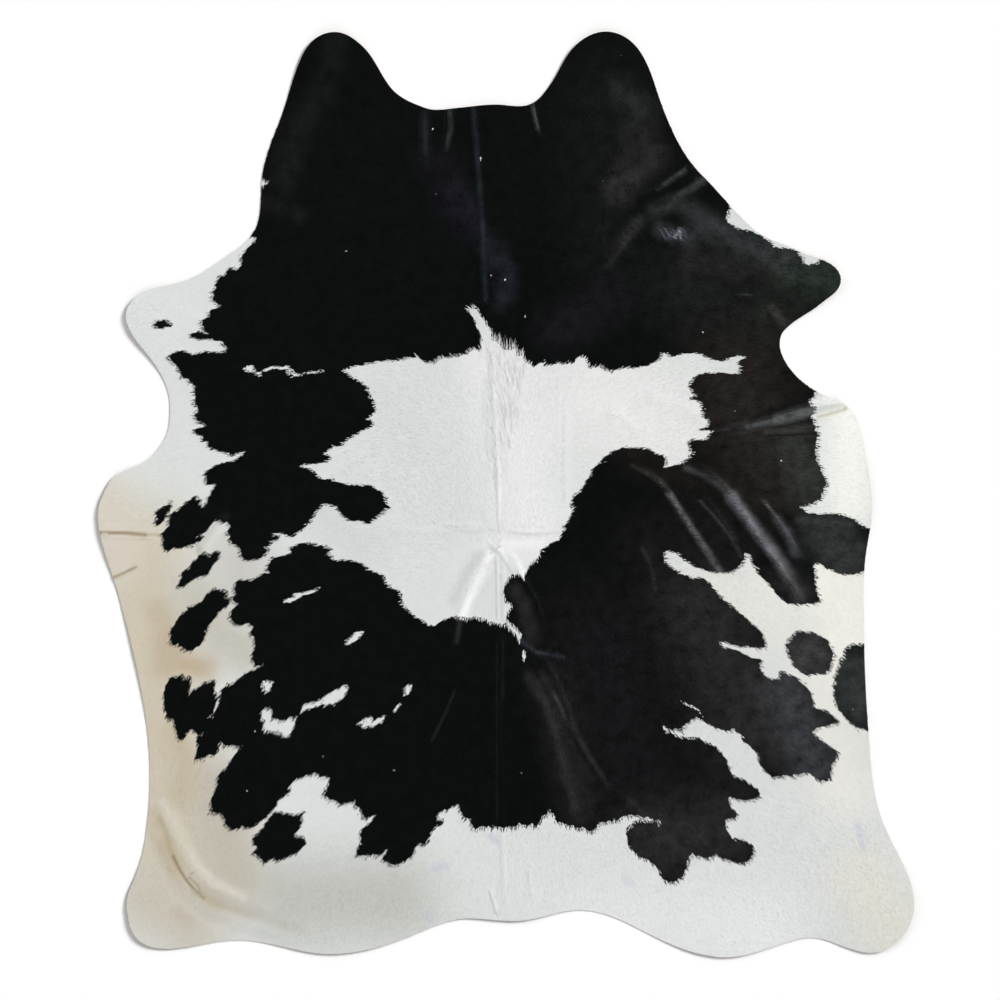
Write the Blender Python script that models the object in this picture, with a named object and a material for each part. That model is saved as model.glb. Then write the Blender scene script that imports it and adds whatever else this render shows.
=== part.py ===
"""A cowhide rug: one tanned hide with its hair on, laid out flat on the floor.

The hide lies with its neck towards +Y and its spine along Y, and its middle is at the origin. Its underside is at
z = 0 where it lies, and lifts off the floor at the storage folds, the wrinkles and the curled edges.
"""

import math
from typing import NamedTuple

import bmesh
import bpy
from mathutils import Vector, kdtree
from mathutils.geometry import delaunay_2d_cdt, interpolate_bezier

CM = 0.01
MM = 0.001

# Driving sizes, in metres.
HIDE_THICKNESS = 0.003  # 2 mm of leather and 1 mm of flattened hair
OUTLINE_STEP = 0.024  # the edge is followed with a point this often
FOLD_STEP = 0.034  # rows of points run along each fold at this pitch
FILL_STEP = 0.068  # pitch of the points between the folds
SLIGHT_FOLD = 3.5 * MM  # a fold lower than this needs fewer rows of points
FADE = 0.22  # share of a fold's length over which it rises at each end
NEAREST = 0.006  # no two points in the rows are closer than this
FULL_ROWS = (-1.0, -0.45, 0.0, 0.45, 1.0)  # a high fold's rows, in shares of half its width
SLIGHT_ROWS = (-1.0, 0.0, 1.0)  # a slight fold's rows
SAME_POINT = 1e-6

COAT_COLOUR = (0.012, 0.011, 0.010, 1.0)
COAT_ROUGHNESS = 0.55


class Station(NamedTuple):
    """A place on the hide's edge, and the direction in which the edge runs there, clockwise round the hide."""

    place: str
    x_cm: float
    y_cm: float
    heading_deg: float


class Fold(NamedTuple):
    """A fold or wrinkle along a path. With a spacing it is two ridges that far apart, with the crease between."""

    place: str
    width_cm: float
    height_mm: float
    spacing_cm: float
    path_cm: tuple


class Swell(NamedTuple):
    """A place where the hide bulges or its edge curls up."""

    place: str
    x_cm: float
    y_cm: float
    reach_cm: float
    height_mm: float


EDGE = (
    Station("neck, middle", -2.2, 97.4, -1),
    Station("neck, right end", 6.2, 97.6, 24),
    Station("right cheek, inner side", 11.5, 103.1, 56),
    Station("right cheek, inner top", 16.8, 111.6, 47),
    Station("right cheek, tip", 25.2, 115.6, -2),
    Station("right cheek, outer top", 33.5, 110.6, -56),
    Station("right cheek, outer side", 38.8, 97.6, -70),
    Station("right neck, hollow", 49.2, 79.5, -44),
    Station("right shoulder", 61.6, 66.5, -41),
    Station("right foreleg, fore side", 73.5, 60.6, -27),
    Station("right foreleg, fore corner", 81.8, 57.0, -38),
    Station("right foreleg, end", 83.6, 53.4, -92),
    Station("right foreleg, rear side", 78.5, 47.6, -140),
    Station("right armpit, fore side", 69.2, 40.6, -128),
    Station("right armpit", 68.4, 37.9, -92),
    Station("right armpit, rear side", 71.2, 31.1, -52),
    Station("right belly, flap", 80.5, 24.2, -24),
    Station("right belly, flap corner", 85.8, 21.4, -46),
    Station("right belly, fore side", 89.8, 9.4, -78),
    Station("right belly, fullest", 91.4, -3.1, -89),
    Station("right belly, rear side", 89.8, -15.9, -96),
    Station("right flank, upper", 89.5, -36.4, -90),
    Station("right flank, lower", 90.5, -58.9, -86),
    Station("right hock", 93.0, -78.4, -75),
    Station("right hind leg, outer side", 99.8, -93.9, -66),
    Station("right hind leg, corner", 101.9, -101.9, -88),
    Station("right hind leg, end", 97.5, -111.9, -138),
    Station("right hind leg, inner side", 90.8, -114.5, 178),
    Station("right hind leg, hollow", 75.0, -110.9, -172),
    Station("right rump, fullest", 54.0, -115.6, 177),
    Station("right rump, inner side", 32.5, -108.2, 153),
    Station("tail, right hollow", 17.5, -103.9, -177),
    Station("tail, end", 3.5, -106.5, -177),
    Station("tail, left hollow", -8.5, -105.9, 178),
    Station("left rump, inner side", -21.5, -109.4, -157),
    Station("left rump, fullest", -43.8, -114.8, 180),
    Station("left hind leg, hollow", -66.5, -111.4, 179),
    Station("left hind leg, inner side", -85.2, -113.5, 178),
    Station("left hind leg, end", -91.5, -111.5, 142),
    Station("left hind leg, corner", -94.7, -103.4, 96),
    Station("left hind leg, outer side", -92.2, -94.4, 70),
    Station("left hock", -89.1, -76.4, 86),
    Station("left flank, lower", -91.5, -46.9, 101),
    Station("left flank, upper", -96.5, -26.1, 105),
    Station("left belly, fullest", -101.9, -6.4, 95),
    Station("left belly, fore side", -99.2, 2.8, 60),
    Station("left armpit, rear side", -91.5, 7.6, 24),
    Station("left armpit, corner", -85.5, 13.6, 60),
    Station("left armpit", -84.0, 22.4, 91),
    Station("left foreleg, rear side", -89.5, 34.9, 128),
    Station("left foreleg, end", -94.9, 43.9, 99),
    Station("left foreleg, fore corner", -90.8, 50.4, 30),
    Station("left foreleg, fore side", -82.2, 52.8, 14),
    Station("left shoulder, fore side", -69.8, 59.6, 34),
    Station("left shoulder, corner", -63.5, 64.9, 54),
    Station("left neck", -61.0, 78.6, 84),
    Station("left neck, hollow", -56.5, 93.6, 69),
    Station("left cheek, outer side", -51.5, 108.4, 67),
    Station("left cheek, outer top", -48.0, 113.6, 40),
    Station("left cheek, tip", -42.8, 115.5, 0),
    Station("left cheek, inner top", -35.8, 111.9, -43),
    Station("left cheek, inner side", -29.0, 101.9, -52),
    Station("neck, left end", -20.2, 96.6, -20),
    Station("neck, left half", -12.0, 96.6, 5),
)

FOLDS = (
    Fold("spine, neck to withers", 2.6, 3.0, 0.0, ((-7.8, 99.0), (-7.4, 83.6), (-6.5, 72.4), (-5.8, 48.6))),
    Fold("spine, withers to loin", 2.2, 3.0, 0.0, ((-5.8, 50.0), (-4.0, 37.4), (-2.8, 20.0), (-1.6, -8.6))),
    Fold("spine, loin to rump", 1.6, 2.5, 1.5, ((-2.0, -12.0), (-1.4, -22.0), (-1.2, -34.0))),
    Fold("spine, rump to tail", 2.2, 2.5, 0.0, ((-1.4, -32.0), (-1.8, -51.4), (-1.0, -83.9), (0.0, -109.0))),
    Fold("neck pleat, outer", 2.4, 3.0, 0.0, ((-20.8, 98.0), (-20.6, 91.0), (-20.4, 82.0))),
    Fold("neck pleat, inner", 1.8, 4.0, 0.0, ((-14.6, 98.5), (-14.9, 92.0), (-15.4, 85.5))),
    Fold("neck pleat, right", 1.8, 4.0, 0.0, ((6.2, 99.0), (7.0, 94.6), (8.3, 89.5))),
    Fold("neck, slanting band", 6.0, 3.0, 0.0, ((-16.5, 86.1), (-9.0, 69.9), (-5.0, 59.9), (-0.2, 50.6))),
    Fold("right shoulder, fore wrinkle", 2.6, 6.5, 0.0, ((31.5, 73.2), (40.5, 78.4), (47.0, 82.6), (51.0, 86.0))),
    Fold("right shoulder, rear wrinkle", 2.4, 5.5, 0.0, ((35.5, 71.6), (43.5, 75.4), (49.5, 78.9), (53.5, 82.0))),
    Fold("right shoulder, long wrinkle", 3.6, 6.0, 0.0, ((23.5, 57.5), (28.5, 64.1), (35.0, 70.4))),
    Fold("right shoulder, upright wrinkle", 2.6, 3.0, 0.0, ((22.8, 62.0), (23.4, 67.0), (24.6, 74.0))),
    Fold("right belly, main fold", 4.0, 9.0, 0.0, ((49.5, 14.9), (63.5, 17.6), (76.0, 21.6), (92.0, 24.6))),
    Fold("right belly, small fold", 2.2, 3.5, 0.0, ((52.5, 12.2), (68.5, 14.2), (78.5, 17.6))),
    Fold(
        "right flank, inner fold", 3.6, 8.0, 0.0,
        ((30.0, 7.4), (35.5, 4.6), (39.8, 0.9), (43.8, -6.6), (48.2, -12.2), (54.5, -20.5)),
    ),
    Fold(
        "right flank, main fold", 4.6, 11.0, 0.0,
        ((43.0, 7.9), (50.5, 4.4), (56.5, -1.4), (60.5, -8.6), (66.0, -16.4), (71.0, -23.4), (75.5, -30.0)),
    ),
    Fold("right flank, wrinkle between", 2.4, 4.0, 0.0, ((47.6, 0.6), (53.8, -6.6), (58.6, -14.6))),
    Fold("right flank, outer fold", 3.2, 6.0, 0.0, ((61.6, 0.2), (67.2, -6.4), (73.4, -16.4))),
    Fold("right flank, short wrinkle", 2.6, 3.0, 0.0, ((33.0, -9.6), (36.0, -15.9), (37.8, -24.0))),
    Fold("storage fold, left of the spine", 1.8, 2.5, 0.0, ((-33.0, -8.8), (-16.5, -8.4), (-3.0, -8.9))),
    Fold("storage fold, right of the spine", 2.0, 3.0, 2.2, ((-0.5, -9.3), (10.0, -9.6), (25.0, -9.0))),
    Fold("storage fold, left edge", 1.8, 3.0, 1.8, ((-106.0, -9.9), (-96.5, -9.8), (-86.0, -10.0))),
    Fold("storage fold, right of the loin", 2.0, 1.6, 0.0, ((13.5, 34.0), (14.0, 13.6), (14.0, -8.0))),
    Fold("left edge, short crease", 1.6, 2.5, 0.0, ((-101.5, -22.4), (-95.2, -19.6), (-90.5, -17.4))),
    Fold("loin pinch, left ridge", 3.4, 7.0, 0.0, ((-1.8, -12.4), (-7.0, -21.0), (-12.0, -31.5), (-15.6, -40.5))),
    Fold(
        "loin pinch, right ridge", 3.0, 5.0, 0.0,
        ((-1.0, -12.6), (2.0, -16.0), (4.6, -21.2), (7.5, -26.8), (9.8, -35.0)),
    ),
    Fold(
        "right rump, long wrinkle", 3.0, 5.0, 0.0,
        ((3.8, -37.6), (9.8, -41.6), (13.5, -48.9), (16.5, -57.6), (21.0, -66.9), (26.0, -73.6)),
    ),
    Fold(
        "right rump, broad fold", 5.2, 6.0, 0.0,
        ((2.6, -41.0), (8.0, -50.1), (12.0, -62.6), (15.0, -75.1), (18.6, -86.0)),
    ),
    Fold("left ribs, soft fold", 4.4, 4.0, 0.0, ((-41.5, 4.9), (-36.0, 8.1), (-28.5, 13.2))),
    Fold("left belly, soft fold", 4.0, 5.0, 0.0, ((-68.8, -4.0), (-73.0, -9.4), (-77.4, -15.4))),
    Fold("right ribs, lower soft fold", 5.4, 3.0, 0.0, ((24.0, 22.4), (29.0, 18.4), (34.5, 13.8))),
    Fold("right ribs, upper soft fold", 6.0, 3.0, 0.0, ((32.0, 25.2), (41.5, 22.0), (51.0, 18.4))),
    Fold(
        "left hind leg, trough", 5.6, 8.0, 5.6,
        ((-89.0, -74.5), (-85.2, -83.9), (-79.2, -96.0), (-73.5, -101.0), (-65.5, -104.4), (-53.0, -108.6)),
    ),
)

SWELLS = (
    Swell("left cheek tip", -43.0, 119.0, 28.0, 8.0),
    Swell("right cheek tip", 25.0, 119.0, 28.0, 8.0),
    Swell("neck edge", -6.0, 103.0, 22.0, 6.0),
    Swell("right foreleg end", 90.0, 54.0, 26.0, 9.0),
    Swell("left foreleg end", -100.0, 44.0, 26.0, 9.0),
    Swell("left belly edge", -109.0, -6.0, 28.0, 8.0),
    Swell("left flank edge", -101.0, -42.0, 22.0, 5.0),
    Swell("right belly edge", 98.0, 2.0, 26.0, 6.0),
    Swell("right flank edge", 98.0, -52.0, 26.0, 4.0),
    Swell("right hind leg end", 107.0, -110.0, 32.0, 10.0),
    Swell("left hind leg end", -99.0, -112.0, 28.0, 9.0),
    Swell("tail edge", 1.0, -113.0, 24.0, 6.0),
    Swell("right rump edge", 54.0, -122.0, 26.0, 6.0),
    Swell("left rump edge", -42.0, -122.0, 26.0, 6.0),
    Swell("right shoulder", 38.0, 84.0, 26.0, 5.0),
    Swell("right flank", 57.0, -5.0, 28.0, 4.0),
    Swell("right rump", 14.0, -60.0, 24.0, 3.0),
)


def bell(distance, reach):
    """A smooth bump: 1 at its middle, 0 from its reach outwards."""
    if distance >= reach:
        return 0.0
    return math.cos(0.5 * math.pi * distance / reach) ** 2


def direction(heading_deg):
    heading = math.radians(heading_deg)
    return Vector((math.cos(heading), math.sin(heading), 0.0))


def arc_handle(start, end, turn_deg):
    """The Bezier handle length that makes an arc of a circle out of a chord with this turn along it."""
    chord = (end - start).length
    turn = math.radians(max(abs(turn_deg), 1.0))
    return chord * (2.0 / 3.0) * math.tan(turn / 4.0) / math.sin(turn / 2.0)


def edge_points():
    """The hide's edge as a closed run of points, clockwise."""
    points = []
    for here, there in zip(EDGE, EDGE[1:] + EDGE[:1]):
        start = Vector((here.x_cm, here.y_cm, 0.0)) * CM
        end = Vector((there.x_cm, there.y_cm, 0.0)) * CM
        turn_deg = (there.heading_deg - here.heading_deg + 180.0) % 360.0 - 180.0
        handle = arc_handle(start, end, turn_deg)
        steps = max(1, round((end - start).length / OUTLINE_STEP))
        curve = interpolate_bezier(
            start,
            start + direction(here.heading_deg) * handle,
            end - direction(there.heading_deg) * handle,
            end,
            steps + 1,
        )
        points.extend(curve[:-1])
    return points


def smooth_path(fold):
    """A smooth run of points through a fold's own points."""
    knots = [Vector((x, y, 0.0)) * CM for x, y in fold.path_cm]
    knots = [2.0 * knots[0] - knots[1]] + knots + [2.0 * knots[-1] - knots[-2]]
    points = []
    for before, start, end, after in zip(knots, knots[1:], knots[2:], knots[3:]):
        steps = max(2, round((end - start).length / FOLD_STEP))
        lead_in = start + (end - before) / 6.0
        lead_out = end - (after - start) / 6.0
        points.extend(interpolate_bezier(start, lead_in, lead_out, end, steps + 1)[:-1])
    points.append(knots[-2])
    return points


def place_on_path(point, path):
    """How far a point lies to the side of a path, and how far along it, from 0 to 1."""
    best = None
    travelled = 0.0
    for start, end in zip(path, path[1:]):
        step = end - start
        share = min(1.0, max(0.0, (point - start).dot(step) / step.length_squared))
        offset = point - (start + step * share)
        if best is None or offset.length < best[0]:
            side = math.copysign(offset.length, step.x * offset.y - step.y * offset.x)
            best = (offset.length, side, travelled + step.length * share)
        travelled += step.length
    return best[1], best[2] / travelled


def relief(point, paths):
    """How far the underside is lifted off the floor at a point."""
    height = 0.0
    for swell in SWELLS:
        centre = Vector((swell.x_cm, swell.y_cm, 0.0)) * CM
        height += swell.height_mm * MM * bell((point - centre).length, swell.reach_cm * CM)
    for fold, path in zip(FOLDS, paths):
        side, along = place_on_path(point, path)
        ends = 1.0 - bell(min(along, 1.0 - along), FADE)
        for ridge in ridge_offsets(fold):
            height += fold.height_mm * MM * ends * bell(abs(side - ridge), 0.5 * fold.width_cm * CM)
    return height


def ridge_offsets(fold):
    """Where a fold's ridges stand, to the sides of its path."""
    half = 0.5 * fold.spacing_cm * CM
    return (-half, half) if half else (0.0,)


def fold_rows(fold, path):
    """Points along a fold, in rows at its foot, on its sides and on its crest."""
    shares = SLIGHT_ROWS if fold.height_mm * MM < SLIGHT_FOLD else FULL_ROWS
    half_width = 0.5 * fold.width_cm * CM
    for index, point in enumerate(path):
        before = path[max(index - 1, 0)]
        after = path[min(index + 1, len(path) - 1)]
        along = (after - before).normalized()
        across = Vector((-along.y, along.x, 0.0))
        for ridge in ridge_offsets(fold):
            for share in shares:
                yield point + across * (ridge + share * half_width)


def inside(point, edge):
    """Whether a point lies within the edge, by counting the crossings of a line to its right."""
    crossings = 0
    for start, end in zip(edge, edge[1:] + edge[:1]):
        if (start.y > point.y) != (end.y > point.y):
            x = start.x + (point.y - start.y) * (end.x - start.x) / (end.y - start.y)
            crossings += x > point.x
    return crossings % 2 == 1


def clear_of(point, others, gap):
    """Whether no other point is closer than the gap."""
    return all((point - other).length_squared >= gap * gap for other in others)


def neighbours(points):
    tree = kdtree.KDTree(len(points))
    for index, point in enumerate(points):
        tree.insert(point, index)
    tree.balance()
    return tree


def inner_points(edge, paths):
    """The points inside the edge: rows along the folds, then an even spread between them."""
    edge_tree = neighbours(edge)
    rows = []
    for fold, path in zip(FOLDS, paths):
        for point in fold_rows(fold, path):
            near_edge = edge_tree.find(point)[2] < 0.5 * OUTLINE_STEP
            if not near_edge and inside(point, edge) and clear_of(point, rows, NEAREST):
                rows.append(point)
    taken = neighbours(edge + rows)
    half_x = max(abs(point.x) for point in edge)
    half_y = max(abs(point.y) for point in edge)
    row_pitch = FILL_STEP * math.sqrt(0.75)
    spread = []
    for row in range(-round(half_y / row_pitch), round(half_y / row_pitch) + 1):
        shift = 0.5 * FILL_STEP * (row % 2)
        for column in range(-round(half_x / FILL_STEP), round(half_x / FILL_STEP) + 1):
            point = Vector((column * FILL_STEP + shift, row * row_pitch, 0.0))
            if taken.find(point)[2] > 0.5 * FILL_STEP and inside(point, edge):
                spread.append(point)
    return rows + spread


def hide_sheet():
    """The underside of the hide as one net of triangles, lifted at its folds and swells."""
    edge = edge_points()
    paths = [smooth_path(fold) for fold in FOLDS]
    points = edge + inner_points(edge, paths)
    loop = [(index, (index + 1) % len(edge)) for index in range(len(edge))]
    only_inside = 1
    net = delaunay_2d_cdt([point.to_2d() for point in points], loop, [], only_inside, SAME_POINT)
    flat, triangles = net[0], net[2]
    centre_x = 0.5 * (max(point.x for point in flat) + min(point.x for point in flat))
    centre_y = 0.5 * (max(point.y for point in flat) + min(point.y for point in flat))
    sheet = bmesh.new()
    for point in flat:
        sheet.verts.new((point.x - centre_x, point.y - centre_y, relief(point.to_3d(), paths)))
    sheet.verts.ensure_lookup_table()
    for triangle in triangles:
        sheet.faces.new([sheet.verts[index] for index in triangle])
    bmesh.ops.recalc_face_normals(sheet, faces=sheet.faces)
    if sum(face.normal.z for face in sheet.faces) < 0.0:
        bmesh.ops.reverse_faces(sheet, faces=sheet.faces)
    return sheet


def coat_material():
    material = bpy.data.materials.new("cowhide")
    material.use_nodes = True
    shader = material.node_tree.nodes["Principled BSDF"]
    shader.inputs["Base Color"].default_value = COAT_COLOUR
    shader.inputs["Roughness"].default_value = COAT_ROUGHNESS
    shader.inputs["Metallic"].default_value = 0.0
    return material


def add_hide():
    """The hide: the sheet of its underside, given its thickness upwards."""
    mesh = bpy.data.meshes.new("hide")
    sheet = hide_sheet()
    sheet.to_mesh(mesh)
    sheet.free()
    mesh.materials.append(coat_material())
    hide = bpy.data.objects.new("hide", mesh)
    bpy.context.scene.collection.objects.link(hide)
    thickness = hide.modifiers.new("thickness", "SOLIDIFY")
    thickness.thickness = HIDE_THICKNESS
    thickness.offset = 1.0
    return hide


def main():
    for old in list(bpy.data.objects):
        bpy.data.objects.remove(old, do_unlink=True)
    add_hide()


main()
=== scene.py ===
"""The looks of a cowhide rug: its folded hide, its coat of short black and white hair, and the studio."""

import logging
import math
from dataclasses import dataclass, field
from enum import Enum
from typing import Any, NamedTuple

import bmesh
import bpy
import numpy as np
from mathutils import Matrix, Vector, kdtree
from mathutils.geometry import interpolate_bezier


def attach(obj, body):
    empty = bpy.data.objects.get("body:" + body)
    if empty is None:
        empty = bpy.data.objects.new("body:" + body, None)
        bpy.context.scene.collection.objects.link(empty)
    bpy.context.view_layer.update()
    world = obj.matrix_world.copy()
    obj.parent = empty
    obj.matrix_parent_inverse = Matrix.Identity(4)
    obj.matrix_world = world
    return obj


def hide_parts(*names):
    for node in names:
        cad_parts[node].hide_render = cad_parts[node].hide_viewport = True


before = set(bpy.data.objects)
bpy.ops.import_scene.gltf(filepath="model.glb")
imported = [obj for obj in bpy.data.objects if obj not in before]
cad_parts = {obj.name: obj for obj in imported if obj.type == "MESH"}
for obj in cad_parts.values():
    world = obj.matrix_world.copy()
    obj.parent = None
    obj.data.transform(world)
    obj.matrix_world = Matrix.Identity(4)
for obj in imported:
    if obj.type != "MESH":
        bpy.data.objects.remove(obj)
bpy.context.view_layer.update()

CM = 0.01
MM = 0.001
# The board on which the coat is drawn: the length of a step, and where the hide's own origin is on it.
BOARD_STEP = 0.0025
BOARD_MIDDLE = (506.0, 494.5)
HAIR_MAP = "OFBake"
MAP_SCALE = 0.42
MAP_MIDDLE = 0.5
# The least length that is divided by.
TINY = 1e-9
# How many places are measured at a time.
CHUNK = 500
# A face of the flat slab is its top or its bottom where its normal's Z is further than this from 0.
LEVEL = 0.5
# The mean of a noise and of a random share.
MEAN = 0.5
# The noise that frays the coat's borders, alike on the skin and in the hair.
FRAY_NOISE = {"Scale": 110.0, "Detail": 2.0}

log = logging.getLogger("cowhide")


class Station(NamedTuple):
    """A place on the hide's edge, and which way the edge runs there, clockwise round the hide."""

    place: str
    x_cm: float
    y_cm: float
    heading_deg: float


class Fold(NamedTuple):
    """A fold or wrinkle along a path; with a spacing it is two ridges that far apart, a crease between."""

    place: str
    width_cm: float
    height_mm: float
    spacing_cm: float
    path_cm: tuple


class Swell(NamedTuple):
    """A place where the hide bulges or its edge curls up."""

    place: str
    x_cm: float
    y_cm: float
    reach_cm: float
    height_mm: float


class Lie(NamedTuple):
    """A place on the hide and the direction in which its hair points there."""

    place: str
    x_cm: float
    y_cm: float
    heading_deg: float


class TintAndPaintedLight(NamedTuple):
    """A colour laid on the white or the black hair along a line on the board, as far as its reach to the
    sides: some rows are real tints of the hair, the others painted highlights, sheen and shade.
    """

    place: str
    line: tuple
    reach: float
    colour: tuple
    strength: float


class Strands(NamedTuple):
    """A line on the board along which the hair is longer and coarser, as far as its reach to the sides."""

    place: str
    line: tuple
    reach: float
    share: float


class Hair(Enum):
    """The two colours of hair."""

    BLACK = "black"
    WHITE = "white"


EDGE = (
    Station("neck, middle", -2.2, 97.4, -1),
    Station("neck, right end", 6.2, 97.6, 24),
    Station("right cheek, inner side", 11.5, 103.1, 56),
    Station("right cheek, inner top", 16.8, 111.6, 47),
    Station("right cheek, tip", 25.2, 115.6, -2),
    Station("right cheek, outer top", 33.5, 110.6, -56),
    Station("right cheek, outer side", 38.8, 97.6, -70),
    Station("right neck, hollow", 49.2, 79.5, -44),
    Station("right shoulder", 61.6, 66.5, -41),
    Station("right foreleg, fore side", 73.5, 60.6, -27),
    Station("right foreleg, fore corner", 81.8, 57.0, -38),
    Station("right foreleg, end", 83.6, 53.4, -92),
    Station("right foreleg, rear side", 78.5, 47.6, -140),
    Station("right armpit, fore side", 69.2, 40.6, -128),
    Station("right armpit", 68.4, 37.9, -92),
    Station("right armpit, rear side", 71.2, 31.1, -52),
    Station("right belly, flap", 80.5, 24.2, -24),
    Station("right belly, flap corner", 85.8, 21.4, -46),
    Station("right belly, fore side", 89.8, 9.4, -78),
    Station("right belly, fullest", 91.4, -3.1, -89),
    Station("right belly, rear side", 89.8, -15.9, -96),
    Station("right flank, upper", 89.5, -36.4, -90),
    Station("right flank, lower", 90.5, -58.9, -86),
    Station("right hock", 93.0, -78.4, -75),
    Station("right hind leg, outer side", 99.8, -93.9, -66),
    Station("right hind leg, corner", 101.9, -101.9, -88),
    Station("right hind leg, end", 97.5, -111.9, -138),
    Station("right hind leg, inner side", 90.8, -114.5, 178),
    Station("right hind leg, hollow", 75.0, -110.9, -172),
    Station("right rump, fullest", 54.0, -115.6, 177),
    Station("right rump, inner side", 32.5, -108.2, 153),
    Station("tail, right hollow", 17.5, -103.9, -177),
    Station("tail, end", 3.5, -106.5, -177),
    Station("tail, left hollow", -8.5, -105.9, 178),
    Station("left rump, inner side", -21.5, -109.4, -157),
    Station("left rump, fullest", -43.8, -114.8, 180),
    Station("left hind leg, hollow", -66.5, -111.4, 179),
    Station("left hind leg, inner side", -85.2, -113.5, 178),
    Station("left hind leg, end", -91.5, -111.5, 142),
    Station("left hind leg, corner", -94.7, -103.4, 96),
    Station("left hind leg, outer side", -92.2, -94.4, 70),
    Station("left hock", -89.1, -76.4, 86),
    Station("left flank, lower", -91.5, -46.9, 101),
    Station("left flank, upper", -96.5, -26.1, 105),
    Station("left belly, fullest", -101.9, -6.4, 95),
    Station("left belly, fore side", -99.2, 2.8, 60),
    Station("left armpit, rear side", -91.5, 7.6, 24),
    Station("left armpit, corner", -85.5, 13.6, 60),
    Station("left armpit", -84.0, 22.4, 91),
    Station("left foreleg, rear side", -89.5, 34.9, 128),
    Station("left foreleg, end", -94.9, 43.9, 99),
    Station("left foreleg, fore corner", -90.8, 50.4, 30),
    Station("left foreleg, fore side", -82.2, 52.8, 14),
    Station("left shoulder, fore side", -69.8, 59.6, 34),
    Station("left shoulder, corner", -63.5, 64.9, 54),
    Station("left neck", -61.0, 78.6, 84),
    Station("left neck, hollow", -56.5, 93.6, 69),
    Station("left cheek, outer side", -51.5, 108.4, 67),
    Station("left cheek, outer top", -48.0, 113.6, 40),
    Station("left cheek, tip", -42.8, 115.5, 0),
    Station("left cheek, inner top", -35.8, 111.9, -43),
    Station("left cheek, inner side", -29.0, 101.9, -52),
    Station("neck, left end", -20.2, 96.6, -20),
    Station("neck, left half", -12.0, 96.6, 5),
)

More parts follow.
